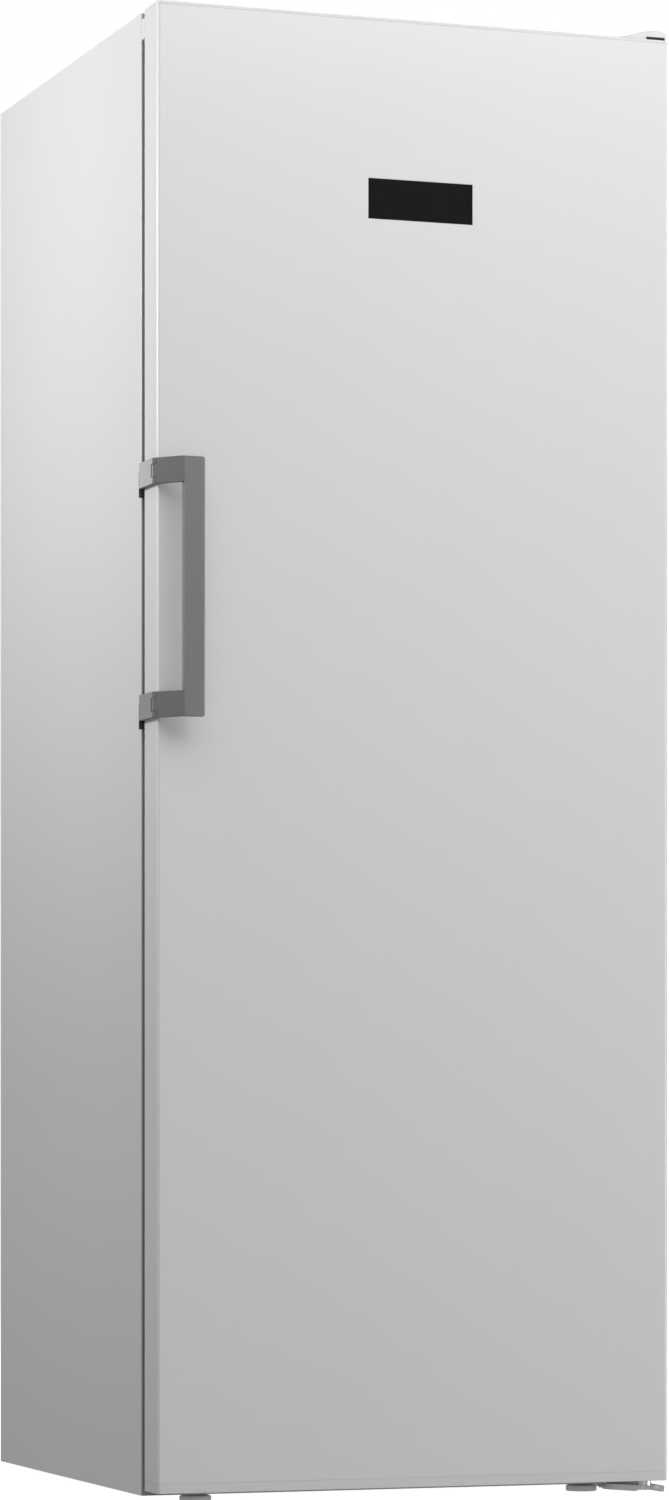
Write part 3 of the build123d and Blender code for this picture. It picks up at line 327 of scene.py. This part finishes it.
def screw_pattern():
    """Cross-recess screw heads, each turned to the way it faces."""
    tree = Pattern("screw_heads", radius=0.0035, height=0.0016, recess=0.0036)
    radius, height, recess = (tree.size(label) for label in ("radius", "height", "recess"))
    drum = tree.node(
        "GeometryNodeMeshCylinder",
        {"fill_type": "NGON"},
        {"Vertices": 16, "Radius": radius, "Depth": height},
    )
    crown = tree.node(
        "GeometryNodeExtrudeMesh",
        {"mode": "FACES"},
        {"Mesh": drum, "Selection": tree.side(drum, "Top"), "Offset Scale": height * 0.35},
    )
    crowned = tree.node(
        "GeometryNodeScaleElements",
        {"domain": "FACE"},
        {"Geometry": crown, "Selection": tree.side(crown, "Top"), "Scale": 0.72},
    )
    slot = recess * 0.24
    bars = [
        tree.node("GeometryNodeMeshCube", None, {"Size": tree.triple(long, wide, height)})
        for long, wide in ((recess, slot), (slot, recess))
    ]
    cut = tree.node(
        "GeometryNodeMeshBoolean",
        {"operation": "DIFFERENCE", "solver": "MANIFOLD"},
        {"Mesh 1": crowned},
    )
    for bar in bars:
        sunk = tree.node(
            "GeometryNodeTransform",
            None,
            {"Geometry": bar, "Translation": tree.triple(z=height * 0.85)},
        )
        tree.tree.links.new(sunk.socket, cut.socket.node.inputs["Mesh 2"])
    seated = tree.node(
        "GeometryNodeTransform",
        None,
        {"Geometry": cut, "Translation": tree.triple(z=height * 0.5)},
    )
    facing = tree.node(
        "GeometryNodeInputNamedAttribute", {"data_type": "FLOAT_VECTOR"}, {"Name": "facing"}
    )
    turned = tree.node("FunctionNodeAlignRotationToVector", {"axis": "Z"}, {"Vector": facing})
    placed = tree.node(
        "GeometryNodeInstanceOnPoints",
        None,
        {"Points": tree.shape, "Instance": seated, "Rotation": turned},
    )
    driven = tree.node(
        "FunctionNodeRandomValue", {"data_type": "FLOAT"}, {2: 0.0, 3: math.pi, "Seed": 5}, out=1
    )
    spun = tree.node(
        "GeometryNodeRotateInstances",
        None,
        {"Instances": placed, "Rotation": tree.triple(z=driven)},
    )
    tree.end(spun)
    return tree


def rib_pattern():
    """Round ribs along each line of the guide, tapered to nothing at open ends."""
    tree = Pattern("round_ribs", radius=0.003, taper=0.008, sides=12)
    line = tree.node("GeometryNodeMeshToCurve", None, {"Mesh": tree.shape})
    run = tree.node("GeometryNodeSplineParameter", out="Length")
    whole = tree.node("GeometryNodeSplineLength", out="Length")
    near = tree.node("ShaderNodeMath", {"operation": "MINIMUM"}, {0: run, 1: whole - run})
    share = tree.node(
        "ShaderNodeClamp", None, {0: near / tree.size("taper"), "Min": 0.0, "Max": 1.0}
    )
    # A little more than one keeps the root's inside above nothing.
    round_end = (1.0001 - (1 - share) ** 2) ** 0.5
    closed = tree.node("GeometryNodeInputSplineCyclic")
    width = tree.node(
        "GeometryNodeSwitch", {"input_type": "FLOAT"}, {0: closed, 1: round_end, 2: 1.0}
    )
    sized = tree.node("GeometryNodeSetCurveRadius", None, {"Curve": line, "Radius": width})
    ring = tree.node(
        "GeometryNodeCurvePrimitiveCircle",
        {"mode": "RADIUS"},
        {"Resolution": tree.size("sides"), "Radius": tree.size("radius")},
    )
    swept = tree.node(
        "GeometryNodeCurveToMesh",
        None,
        {"Curve": sized, "Profile Curve": ring, "Fill Caps": True},
    )
    tree.end(tree.node("GeometryNodeSetShadeSmooth", None, {"Geometry": swept}))
    return tree


def strip_pattern():
    """Rounded flat strips along each level line of the guide."""
    tree = Pattern("edge_strips", depth=0.005, height=0.009, round=0.0012)
    line = tree.node("GeometryNodeMeshToCurve", None, {"Mesh": tree.shape})
    level = tree.node("GeometryNodeSetCurveNormal", {"mode": "Z_UP"}, {"Curve": line})
    box = tree.node(
        "GeometryNodeCurvePrimitiveQuadrilateral",
        {"mode": "RECTANGLE"},
        {"Width": tree.size("depth"), "Height": tree.size("height")},
    )
    soft = tree.node(
        "GeometryNodeFilletCurve",
        {"mode": "POLY"},
        {"Curve": box, "Count": 3, "Radius": tree.size("round"), "Limit Radius": True},
    )
    swept = tree.node(
        "GeometryNodeCurveToMesh",
        None,
        {"Curve": level, "Profile Curve": soft, "Fill Caps": True},
    )
    tree.end(swept)
    return tree


# Finishes, one for each slot of the record


def sprayed_steel(name, colour, gloss):
    """White enamel: a slight orange peel, with tone and gloss that drift a little.

    The cabinet's front lip, which the door's seal meets, is painted grey as shade in the gap
    beside the door, and so is the line where the door's sheet bends back towards the hinges,
    as painted shade on that rounded edge.
    """
    paint = Finish(name, Coat_Weight=0.25, Coat_Roughness=0.12, Specular_IOR_Level=0.4)
    # Painted shade: the cabinet's front lip, seen in the gap by the door, is coloured grey.
    gap_shade_rear, gap_shade_front, gap_shade_end = -0.2866, -0.2882, -0.29
    lip = paint.ramp(paint.along("Y"), gap_shade_rear, gap_shade_front) * (paint.along("Y") > gap_shade_end)
    grey = tuple(part * 0.4 for part in colour)
    body = paint.blend(lip, paint.shades(colour, 0.012, 0.22), grey)
    # Painted shade: faces with the bend mark, on the door's rounded right edge, take the grey
    # too.
    paint.feed("Base Color", paint.blend(paint.mark("bend"), body, grey))
    paint.feed("Roughness", paint.noise(0.05) * 0.08 + (gloss - 0.04))
    peel = paint.noise(0.0022, detail=1) * 0.8 + paint.noise(0.0006, detail=1) * 0.2
    paint.relief(peel, 0.12, 0.00012)
    return paint.material


def moulded(name, colour, gloss, swing=0.02, rim_tone=1.12, pale=None):
    """Moulded plastic with a fine eroded grain, a little lighter or darker along its edges;
    darker edges are painted shade.

    Where the mesh carries the pale mark, the pale colour takes the first one's place, as a
    painted highlight.
    """
    plastic = Finish(name)
    grain = 0.0008
    body = plastic.shades(colour, swing, 0.06)
    # Painted highlight: faces with the pale mark take the pale colour.
    if pale:
        body = plastic.blend(plastic.mark("pale"), body, plastic.shades(pale, swing, 0.03))
    # Rounded edges take the colour times the rim tone: below one this is painted shade, which
    # draws grey outlines; above one the edges are lighter.
    light = tuple(min(part * rim_tone, 1) for part in colour)
    plastic.feed("Base Color", plastic.blend(plastic.rim() * 0.6, body, light))
    plastic.feed("Roughness", plastic.noise(0.02) * 0.12 + (gloss - 0.06) - plastic.rim() * 0.06)
    grit = plastic.noise(grain, detail=2) * 0.7 + plastic.cells(grain * 1.6) * 0.3
    plastic.relief(grit, 0.25, 0.00006)
    return plastic.material


def drawn_metal(name, colour, gloss, metallic=1.0, swing=0.08):
    """Metal with streaks drawn along its height and edges rubbed brighter."""
    metal = Finish(name)
    lines = metal.noise(0.0004, (1, 1, 30))
    body = metal.shades(colour, swing, 0.03)
    bright = tuple(min(part * 1.25, 1) for part in colour)
    rim_tone = metal.rim() * metal.noise(0.004) * 1.2
    metal.feed("Base Color", metal.blend(rim_tone, body, bright))
    metal.feed("Metallic", metal.noise(0.05) * 0.04 + (metallic - 0.04))
    metal.feed("Roughness", lines * 0.14 + (gloss - 0.07))
    metal.relief(lines, 0.2, 0.00004)
    return metal.material


def zinc_coated(name, colour, gloss):
    """Galvanised sheet: grey flakes of slightly different tone, with dull streaks."""
    zinc = Finish(name)
    flakes = zinc.cells(0.006)
    tone = zinc.node(
        "ShaderNodeSeparateColor", None, {0: zinc.side(flakes, "Color")}, out="Red"
    )
    dark = tuple(part * 0.86 for part in colour)
    rim_tone = zinc.blend(zinc.rim() * 0.5, zinc.blend(tone, dark, colour), (0.85, 0.86, 0.87))
    zinc.feed("Base Color", rim_tone)
    zinc.feed("Metallic", zinc.noise(0.03) * 0.1 + 0.85)
    zinc.feed("Roughness", tone * 0.12 + (gloss - 0.06))
    zinc.relief(tone * 0.5 + zinc.noise(0.001) * 0.5, 0.15, 0.00005)
    return zinc.material


def soft_rubber(name, colour, dust):
    """Matt rubber with a fine skin and a little pale dust."""
    rubber = Finish(name, Sheen_Weight=0.1, Specular_IOR_Level=0.3)
    dusty = rubber.noise(0.012) ** 3
    pale = tuple(part + dust for part in colour)
    rubber.feed("Base Color", rubber.blend(dusty, colour, pale))
    rubber.feed("Roughness", rubber.noise(0.004) * 0.15 + 0.6)
    rubber.relief(rubber.noise(0.0007), 0.3, 0.00008)
    return rubber.material


def dark_glass(name):
    """The display's window: black behind clear glass, with faint cleaning streaks."""
    glass = Finish(name, Specular_IOR_Level=0.3, Coat_Weight=0.0)
    black = glass.shades((0.012, 0.012, 0.013), 0.2, 0.02)
    glass.feed("Base Color", glass.blend(glass.rim(), black, (0.05, 0.05, 0.052)))
    glass.feed("Roughness", glass.noise(0.006, (6, 1, 1)) * 0.06 + 0.07)
    glass.relief(glass.noise(0.02), 0.02, 0.0001)
    return glass.material


def clear_plate(name, colour, gloss, clearness):
    """See-through plastic or glass: tinted edges, faint moulding waves and cloudy frost."""
    clear = Finish(name, Transmission_Weight=clearness, IOR=1.45)
    tint = tuple(part * 0.75 for part in colour)
    body = clear.shades(colour, 0.03, 0.08)
    clear.feed("Base Color", clear.blend(clear.rim() * 0.7, body, tint))
    clear.feed("Roughness", clear.noise(0.03) * 0.1 + (gloss - 0.05))
    clear.relief(clear.noise(0.04, detail=1), 0.15, 0.0004)
    return clear.material


def blown_foam(name, colour):
    """Rigid foam with its small closed cells."""
    foam = Finish(name)
    cell = foam.cells(0.0025)
    dark = tuple(part * 0.75 for part in colour)
    foam.feed("Base Color", foam.blend(cell, colour, dark))
    foam.feed("Roughness", foam.noise(0.02) * 0.1 + 0.85)
    foam.relief(cell, 0.5, 0.0006)
    return foam.material


def polished_liner(name, colour):
    """Vacuum-formed liner: glossy, with the soft waves of stretched sheet."""
    liner = Finish(name, Coat_Weight=0.15, Coat_Roughness=0.25)
    liner.feed("Base Color", liner.shades(colour, 0.01, 0.3))
    liner.feed("Roughness", liner.noise(0.04) * 0.08 + 0.36)
    waves = liner.noise(0.05, detail=1) * 0.95 + liner.noise(0.006, detail=1) * 0.05
    liner.relief(waves, 0.1, 0.0004)
    return liner.material


def tarnished_copper(name):
    """Copper tube: warm and bright, with brown clouds of tarnish."""
    copper = Finish(name)
    tarnish = copper.noise(0.02) ** 2
    copper.feed("Base Color", copper.blend(tarnish, (0.72, 0.42, 0.3), (0.3, 0.16, 0.1)))
    copper.feed("Metallic", 1 - tarnish * 0.3)
    copper.feed("Roughness", tarnish * 0.4 + 0.25)
    copper.relief(copper.noise(0.001), 0.15, 0.00005)
    return copper.material


def enamel_black(name):
    """Thick black stove paint on the compressor, dusty on top."""
    paint = Finish(name)
    up = paint.node("ShaderNodeNewGeometry", out="Normal")
    facing = paint.node("ShaderNodeSeparateXYZ", None, {0: up}, out="Z")
    dust = (facing > 0.5) * paint.noise(0.01) * 0.5
    paint.feed("Base Color", paint.blend(dust, (0.02, 0.02, 0.022), (0.25, 0.24, 0.22)))
    paint.feed("Roughness", dust * 0.5 + 0.32)
    paint.relief(paint.noise(0.003), 0.3, 0.0002)
    return paint.material


def make_finishes():
    """Every slot of the record gets its finish."""
    return {
        "white_paint": sprayed_steel("white_enamel", (0.86, 0.86, 0.855), 0.34),
        "back_sheet": zinc_coated("back_sheet_zinc", (0.62, 0.63, 0.64), 0.5),
        "zinc_steel": zinc_coated("zinc_plate", (0.6, 0.61, 0.62), 0.4),
        "pin_steel": drawn_metal("turned_steel", (0.7, 0.7, 0.7), 0.25),
        "hinge_grey": drawn_metal(
            "hinge_plating", (0.97, 0.97, 0.97), 0.3, metallic=0.98, swing=0.02
        ),
        # A rim tone of 0.5 is painted shade: the rounded edges of the white mouldings turn grey.
        "white_plastic": moulded(
            "white_moulding", (0.83, 0.83, 0.82), 0.38, swing=0.01, rim_tone=0.5
        ),
        "liner_plastic": polished_liner("liner_gloss", (0.88, 0.89, 0.89)),
        "foam": blown_foam("insulation", (0.9, 0.84, 0.6)),
        "seal_rubber": soft_rubber("seal_skin", (0.09, 0.09, 0.092), 0.03),
        "mount_rubber": soft_rubber("grommet_skin", (0.03, 0.03, 0.03), 0.12),
        "black_glass": dark_glass("display_window"),
        "black_plastic": moulded("black_moulding", (0.035, 0.035, 0.038), 0.55, rim_tone=2.0),
        "handle_grey": drawn_metal(
            "grip_metal", (0.27, 0.27, 0.273), 0.42, metallic=0.3, swing=0.03
        ),
        # The pale colour is painted light on the handle's left-facing sides.
        "handle_plastic": moulded(
            "arm_moulding", (0.127, 0.127, 0.129), 0.45, swing=0.03, pale=(0.58, 0.58, 0.585)
        ),
        "guide_plastic": moulded("guide_moulding", (0.045, 0.045, 0.047), 0.45, rim_tone=1.8),
        "drawer_plastic": clear_plate("drawer_frost", (0.88, 0.93, 0.96), 0.3, 0.2),
        "shelf_glass": clear_plate("shelf_float", (0.84, 0.94, 0.9), 0.08, 0.8),
        "lamp_plastic": clear_plate("lamp_lens", (0.95, 0.95, 0.92), 0.3, 0.3),
        "fin_aluminium": drawn_metal("fin_sheet", (0.75, 0.76, 0.77), 0.35),
        "copper": tarnished_copper("copper_tube"),
        "compressor_paint": enamel_black("pot_enamel"),
        "tray_plastic": moulded("tray_moulding", (0.16, 0.16, 0.17), 0.6, rim_tone=1.5),
        "fan_plastic": moulded("fan_moulding", (0.8, 0.8, 0.8), 0.45),
        "foot_plastic": moulded("foot_moulding", (0.88, 0.88, 0.88), 0.5, rim_tone=0.9),
        "roller_plastic": moulded("roller_moulding", (0.06, 0.06, 0.06), 0.5, rim_tone=1.6),
    }


# Pieces


def keep(name, mesh, body, slot):
    """Puts a finished mesh in the scene, in its slot's finish, on the body that carries it."""
    mesh.materials.clear()
    mesh.materials.append(FINISH[slot])
    piece = bpy.data.objects.new(name, mesh)
    bpy.context.scene.collection.objects.link(piece)
    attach(piece, body)
    return piece


def even_normals(mesh):
    """Shades a mesh with rounded edges: large faces stay flat, and only the edges turn."""
    normals = [Vector() for _ in mesh.vertices]
    for face in mesh.polygons:
        face.use_smooth = True
        for corner in face.vertices:
            normals[corner] += face.normal * face.area
    mesh.normals_split_custom_set_from_vertices([n.normalized() for n in normals])


def eased(node, width, pale=(0.0, 0.0)):
    """A copy of a CAD node with its sharp edges rounded, in place of the node.

    The two shares of the paler tone, a painted highlight, are for faces that look to the left,
    and for the others.
    Faces that turn from the front to the right carry the bend mark, which the white enamel turns
    into painted shade.
    """
    shape = bmesh.new()
    shape.from_mesh(frame["nodes"][node].data)
    bmesh.ops.remove_doubles(shape, verts=shape.verts, dist=0.000002)
    bmesh.ops.dissolve_limit(
        shape, angle_limit=math.radians(0.5), verts=shape.verts, edges=shape.edges
    )
    rim = shape.faces.layers.float.new("rim")
    tone = shape.faces.layers.float.new("pale")
    bend = shape.faces.layers.float.new("bend")
    sharp_from = math.radians(35)
    sharp = [
        edge
        for edge in shape.edges
        if len(edge.link_faces) == 2 and edge.calc_face_angle() > sharp_from
    ]
    rounded = bmesh.ops.bevel(
        shape, geom=sharp, offset=width, segments=2, profile=0.5, affect="EDGES"
    )
    for face in rounded["faces"]:
        face[rim] = 1
    for face in shape.faces:
        # Painted highlight: the pale share lightens faces that look to the left.
        face[tone] = pale[0] if face.normal.x < -0.9 else pale[1]
        # Painted shade: the bend mark darkens faces that turn from the front to the right.
        face[bend] = 0.75 if 0.6 < face.normal.x < 0.99 and face.normal.y < -0.1 else 0
    mesh = bpy.data.meshes.new(f"{node}_eased")
    shape.to_mesh(mesh)
    shape.free()
    even_normals(mesh)
    piece = keep(f"{node}_eased", mesh, BODY_OF[node], SLOT_OF[node])
    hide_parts(node)
    return piece


def outward(mesh):
    """Turns the faces of each closed shell outwards."""
    shape = bmesh.new()
    shape.from_mesh(mesh)
    bmesh.ops.recalc_face_normals(shape, faces=shape.faces)
    shape.to_mesh(mesh)
    shape.free()
    return mesh


def points_guide(places):
    """Single points, each with the way it faces."""
    mesh = bpy.data.meshes.new("points_guide")
    mesh.from_pydata([place for place, _ in places], [], [])
    facing = mesh.attributes.new("facing", "FLOAT_VECTOR", "POINT")
    for entry, (_, way) in zip(facing.data, places):
        entry.vector = way
    return mesh


def lines_guide(lines):
    """Lines through points: (points, closed) each."""
    corners, edges = [], []
    for points, closed in lines:
        first = len(corners)
        corners += points
        count = len(points)
        edges += [(first + step, first + step + 1) for step in range(count - 1)]
        if closed:
            edges.append((first + count - 1, first))
    mesh = bpy.data.meshes.new("lines_guide")
    mesh.from_pydata(corners, edges, [])
    return mesh


def straight(start, end, taper=0.008):
    """A line whose ends have close points, so that a rib there can taper."""
    start, end = Vector(start), Vector(end)
    reach = (end - start).length
    near = [taper * share for share in (0, 0.03, 0.12, 0.28, 0.5, 0.75, 1)]
    steps = near + [reach - step for step in reversed(near)]
    return [start + (end - start) * (step / reach) for step in steps], False


def frame_line(left, right, low, high, depth, corner):
    """A closed upright rectangle with rounded corners."""
    points = []
    for x, z, turn in (
        (right - corner, high - corner, 0),
        (left + corner, high - corner, 1),
        (left + corner, low + corner, 2),
        (right - corner, low + corner, 3),
    ):
        for step in range(5):
            angle = math.pi / 2 * (turn + step / 4)
            points.append((x + corner * math.cos(angle), depth, z + corner * math.sin(angle)))
    return points, True


def rows_of_faces(rings, count, closed=False):
    """Four-cornered faces between rings of corners, each ring of the same count."""
    faces = []
    for ring in range(rings if closed else rings - 1):
        here, there = ring * count, (ring + 1) % rings * count
        for step in range(count):
            after = (step + 1) % count
            faces.append((here + step, here + after, there + after, there + step))
    return faces


def turned(name, centre, axis, outline, body, slot):
    """A lathe-turned piece: outline pairs of radius and reach along its axis."""
    steps = 32
    axis = Vector(axis)
    side = axis.orthogonal().normalized()
    other = axis.cross(side)
    corners = []
    for radius, reach in outline:
        for step in range(steps):
            angle = 2 * math.pi * step / steps
            way = side * math.cos(angle) + other * math.sin(angle)
            corners.append(Vector(centre) + way * radius + axis * reach)
    faces = rows_of_faces(len(outline), steps)
    faces.append(tuple(reversed(range(steps))))
    faces.append(tuple(range(len(corners) - steps, len(corners))))
    mesh = bpy.data.meshes.new(name)
    mesh.from_pydata(corners, [], faces)
    outward(mesh)
    even_normals(mesh)
    return keep(name, mesh, body, slot)


def soft_block(name, low, high, width, body, slot, segments=2):
    """A box with rounded edges between two corners."""
    shape = bmesh.new()
    bmesh.ops.create_cube(shape, size=1)
    low, high = Vector(low), Vector(high)
    for vertex in shape.verts:
        vertex.co = [
            low[i] + (high[i] - low[i]) * (vertex.co[i] + 0.5) for i in range(3)
        ]
    rim = shape.faces.layers.float.new("rim")
    rounded = bmesh.ops.bevel(
        shape, geom=shape.edges[:], offset=width, segments=segments, profile=0.5, affect="EDGES"
    )
    for face in rounded["faces"]:
        face[rim] = 1
    mesh = bpy.data.meshes.new(name)
    shape.to_mesh(mesh)
    shape.free()
    even_normals(mesh)
    return keep(name, mesh, body, slot)


def seal_strip():
    """The door's seal: a clipped base, a folded bellows and a magnet head, mitred at corners.

    The profile's pairs are millimetres: outwards from the seal's middle line, and to the rear.
    """
    low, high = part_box("door_gasket")
    half = 0.011
    profile = (
        (-8, 0), (8, 0), (8, 2), (4.5, 3), (3.2, 4.4), (4.8, 5.8), (3.2, 7.2), (4.6, 8.8),
        (8.4, 9.4), (8.8, 10), (8.8, 13.4), (8, 14.4), (-8, 14.4), (-8.8, 13.4), (-8.8, 10),
        (-8.4, 9.4), (-4.6, 8.8), (-3.2, 7.2), (-4.8, 5.8), (-3.2, 4.4), (-4.5, 3), (-8, 2),
    )
    corners = []
    for across, up in ((-1, -1), (1, -1), (1, 1), (-1, 1)):
        x = high[0] - half if across > 0 else low[0] + half
        z = high[2] - half if up > 0 else low[2] + half
        for out, rear in profile:
            corners.append((x + across * out / 1000, low[1] + rear / 1000, z + up * out / 1000))
    mesh = bpy.data.meshes.new("seal_strip")
    mesh.from_pydata(corners, [], rows_of_faces(4, len(profile), closed=True))
    outward(mesh)
    piece = keep("seal_strip", mesh, "door", "seal_rubber")
    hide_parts("door_gasket")


def fit_shelves(ribs, strips):
    """Ledges on the liner's walls, and the strip along each shelf's front edge."""
    first_level, pitch, top_level = 0.291, 0.2315, 1.6385
    levels = [first_level + pitch * step for step in range(6)] + [top_level]
    wall, front, rear, drop = 0.289, -0.236, 0.19, 0.0052
    ledges = [
        straight((side * wall, front, level - drop), (side * wall, rear, level - drop))
        for side in (-1, 1)
        for level in levels[1:]
    ]
    ribs.make("shelf_ledges", lines_guide(ledges), "cabinet", "liner_plastic", radius=0.005)
    reach, lip = 0.286, -0.2465
    edges = [([(-reach, lip, level), (reach, lip, level)], False) for level in levels]
    strips.make("shelf_edges", lines_guide(edges), "cabinet", "white_plastic", height=0.0074)


def fit_drawers(ribs):
    """A pressed frame on each drawer's front, and upright ribs on its sides."""
    sunk, inset, count = 0.0008, 0.03, 8
    for body, node in DRAWERS:
        low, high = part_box(node)
        first, last = low[1] + inset, high[1] - inset
        lines = [
            frame_line(
                low[0] + 0.016, high[0] - 0.016, low[2] + 0.014, high[2] - inset,
                low[1] + sunk, 0.012,
            )
        ]
        for side in (low[0] + sunk, high[0] - sunk):
            for step in range(count):
                y = first + (last - first) * step / (count - 1)
                lines.append(straight((side, y, low[2] + 0.02), (side, y, high[2] - 0.025)))
        ribs.make(f"{node}_ribs", lines_guide(lines), body, "drawer_plastic", radius=0.0018)


def fit_flaps(ribs):
    """A pressed frame on the front of both flaps."""
    inset = 0.02
    for body, node in (("lid_1", "flap_1"), ("lid_2", "flap_2")):
        low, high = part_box(node)
        line = frame_line(
            low[0] + inset, high[0] - inset, low[2] + inset, high[2] - inset,
            low[1] + 0.0008, 0.012,
        )
        ribs.make(f"{node}_ridge", lines_guide([line]), body, "drawer_plastic", radius=0.0018)


def fit_door_liner(ribs):
    """Nine level ribs pressed into the door's liner."""
    reach, depth, taper = 0.24, -0.2895, 0.02
    heights = [0.16 + 0.2 * step for step in range(9)]
    pressed = [straight((-reach, depth, z), (reach, depth, z), taper) for z in heights]
    ribs.make(
        "door_ribs", lines_guide(pressed), "door", "liner_plastic", radius=0.004, taper=taper
    )


def fit_lamp(ribs):
    """Fine prisms under the lamp's cover."""
    taper = 0.002
    low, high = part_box("light_cover")
    left, right, under = low[0] + 0.006, high[0] - 0.006, low[2] + 0.0004
    prisms = [
        straight((left, y, under), (right, y, under), taper)
        for y in (low[1] + 0.005 + 0.0025 * step for step in range(21))
    ]
    ribs.make(
        "lamp_prisms", lines_guide(prisms), "cabinet", "lamp_plastic",
        radius=0.001, taper=taper, sides=8,
    )


def fit_back(screws):
    """Screws round the back sheet, and the two plugs of its foam holes."""
    rear = 0.372
    places = [
        ((side * 0.321, rear, 0.29 + 0.31 * step), BACK) for side in (-1, 1) for step in range(6)
    ]
    places += [((x, rear, 1.886), BACK) for x in (-0.2, 0, 0.2)]
    places += [((side * 0.312, rear, 0.0348), BACK) for side in (-1, 1)]
    screws.make("back_screws", points_guide(places), "cabinet", "zinc_steel")
    plug = (
        (0.0001, 0), (0.016, 0), (0.016, 0.0008), (0.013, 0.0022), (0.009, 0.0024),
        (0.0084, 0.0016), (0.0001, 0.0016),
    )
    for name, height in (("filler_plug_low", 0.62), ("filler_plug_high", 1.34)):
        turned(name, (0, rear - 0.0002, height), BACK, plug, "cabinet", "black_plastic")


def fit_machine_room(ribs):
    """The compressor's weld and relay box, and the spout that drains into its tray."""
    pot_x, pot_y = -0.09, 0.247
    seam = [
        (pot_x + 0.0722 * math.cos(angle), pot_y + 0.0612 * math.sin(angle), 0.122)
        for angle in (2 * math.pi * step / 48 for step in range(48))
    ]
    ribs.make(
        "pot_weld", lines_guide([(seam, True)]), "cabinet", "compressor_paint",
        radius=0.0016, sides=8,
    )
    soft_block(
        "relay_box", (-0.186, 0.226, 0.086), (-0.158, 0.268, 0.136), 0.003,
        "cabinet", "black_plastic", segments=3,
    )
    soft_block(
        "relay_lid", (-0.1885, 0.229, 0.09), (-0.184, 0.265, 0.132), 0.0014,
        "cabinet", "black_plastic",
    )
    taper = 0.002
    clips = [
        straight((-0.187, 0.2255, z), (-0.158, 0.2255, z), taper) for z in (0.098, 0.124)
    ]
    ribs.make(
        "relay_clips", lines_guide(clips), "cabinet", "zinc_steel",
        radius=0.0012, taper=taper, sides=8,
    )
    spout = (
        (0.0115, 0), (0.0115, -0.004), (0.008, -0.008), (0.0062, -0.03), (0.005, -0.03),
        (0.0066, -0.008), (0.009, 0),
    )
    turned("drain_spout", (-0.135, 0.247, 0.2405), UP, spout, "cabinet", "black_plastic")


def fit_feet(ribs):
    """Grip flutes on the two screw feet."""
    count, foot_low, foot_high, taper = 24, 0.0012, 0.0068, 0.001
    for body, node in (("foot_l", "foot_left"), ("foot_r", "foot_right")):
        low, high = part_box(node)
        x, y = (low[0] + high[0]) / 2, (low[1] + high[1]) / 2
        reach = (high[0] - low[0]) / 2 * 0.985
        flutes = []
        for step in range(count):
            angle = 2 * math.pi * step / count
            side = (x + reach * math.cos(angle), y + reach * math.sin(angle))
            flutes.append(straight((*side, foot_low), (*side, foot_high), taper))
        ribs.make(
            f"{node}_flutes", lines_guide(flutes), body, "foot_plastic",
            radius=0.0008, taper=taper, sides=6,
        )


def grip_bar():
    """The handle's bar: softly rounded to the right, with rounded corners there.

    It is a stack of outlines from front to rear. Each level has its depth and how far the
    outline draws in there.
    """
    low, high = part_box("handle_grip")
    bend, corner, crisp, steps = 0.003, 0.0034, 0.0005, 5
    turns = [math.pi / 2 * step / steps for step in range(steps + 1)]
    levels = [
        (low[1] + bend * (1 - math.sin(turn)), 1 - math.cos(turn)) for turn in reversed(turns)
    ]
    levels += [(high[1] - bend * (1 - math.sin(turn)), 1 - math.cos(turn)) for turn in turns]
    corners = []
    for depth, draw in levels:
        right = high[0] - bend * draw
        edge = crisp * min(1, draw * 3)
        ring = [(low[0], low[2] + edge)]
        for centre, first in ((low[2] + corner, -1), (high[2] - corner, 0)):
            for turn in turns:
                angle = turn + first * math.pi / 2
                ring.append(
                    (
                        right - corner + corner * math.cos(angle),
                        centre + (corner - edge) * math.sin(angle),
                    )
                )
        ring.append((low[0], high[2] - edge))
        corners += [(x, depth, z) for x, z in ring]
    count = len(ring)
    faces = rows_of_faces(len(levels), count)
    faces.append(tuple(range(count)))
    faces.append(tuple(range(len(corners) - count, len(corners))))
    mesh = bpy.data.meshes.new("grip_bar")
    mesh.from_pydata(corners, [], faces)
    outward(mesh)
    even_normals(mesh)
    piece = keep("grip_bar", mesh, "handle", "handle_grey")
    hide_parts("handle_grip")


def fit_cover():
    """A black block under the front right of the hinge cover, put there as a painted shadow."""
    soft_block(
        "cover_painted_shadow", (0.3245, -0.3446, 1.9034), (0.3508, -0.3425, 1.9072), 0.0006,
        "cabinet", "black_glass",
    )


def dress_nodes():
    """The CAD nodes take their finishes; those with edges that show get rounded copies."""
    for name, node in frame["nodes"].items():
        node.data.materials.clear()
        node.data.materials.append(FINISH[SLOT_OF[name]])
    # Painted light: the handle's left-facing faces take the pale colour, more on the upper arm
    # and mount than on the lower.
    for height, lit_side_shares in (("upper", (0.95, 0.0)), ("lower", (0.5, 0.08))):
        for kind in ("arm", "mount"):
            eased(f"handle_{kind}_{height}", 0.0004, pale=lit_side_shares)
    for name in (
        "display_glass", "door_skin", "door_top_cap", "door_bottom_cap", "top_front_trim",
        "lower_hinge_bracket", "upper_hinge_bracket", "foot_left", "foot_right", "roller_left",
        "roller_right", "roller_brackets", "wall_spacers", "drip_tray", "compressor_tray",
        "drawer_1", "drawer_2", "drawer_3", "drawer_4", "drawer_5", "drawer_6", "flap_1",
        "flap_2", "duct_cover", "shelves", "light_cover", "power_inlet", "fan_motor",
        "display_housing", "fan_blade", "door_liner", "hinge_bushings", "handle_pushers",
    ):
        eased(name, 0.0003)
    eased("upper_hinge_cover", 0.0008)


FINISH = make_finishes()
set_camera()
set_studio()
lay_floor()
dress_nodes()
seal_strip()
SCREWS, RIBS, STRIPS = screw_pattern(), rib_pattern(), strip_pattern()
fit_shelves(RIBS, STRIPS)
fit_drawers(RIBS)
fit_flaps(RIBS)
fit_door_liner(RIBS)
fit_lamp(RIBS)
fit_back(SCREWS)
fit_machine_room(RIBS)
fit_feet(RIBS)
grip_bar()
fit_cover()
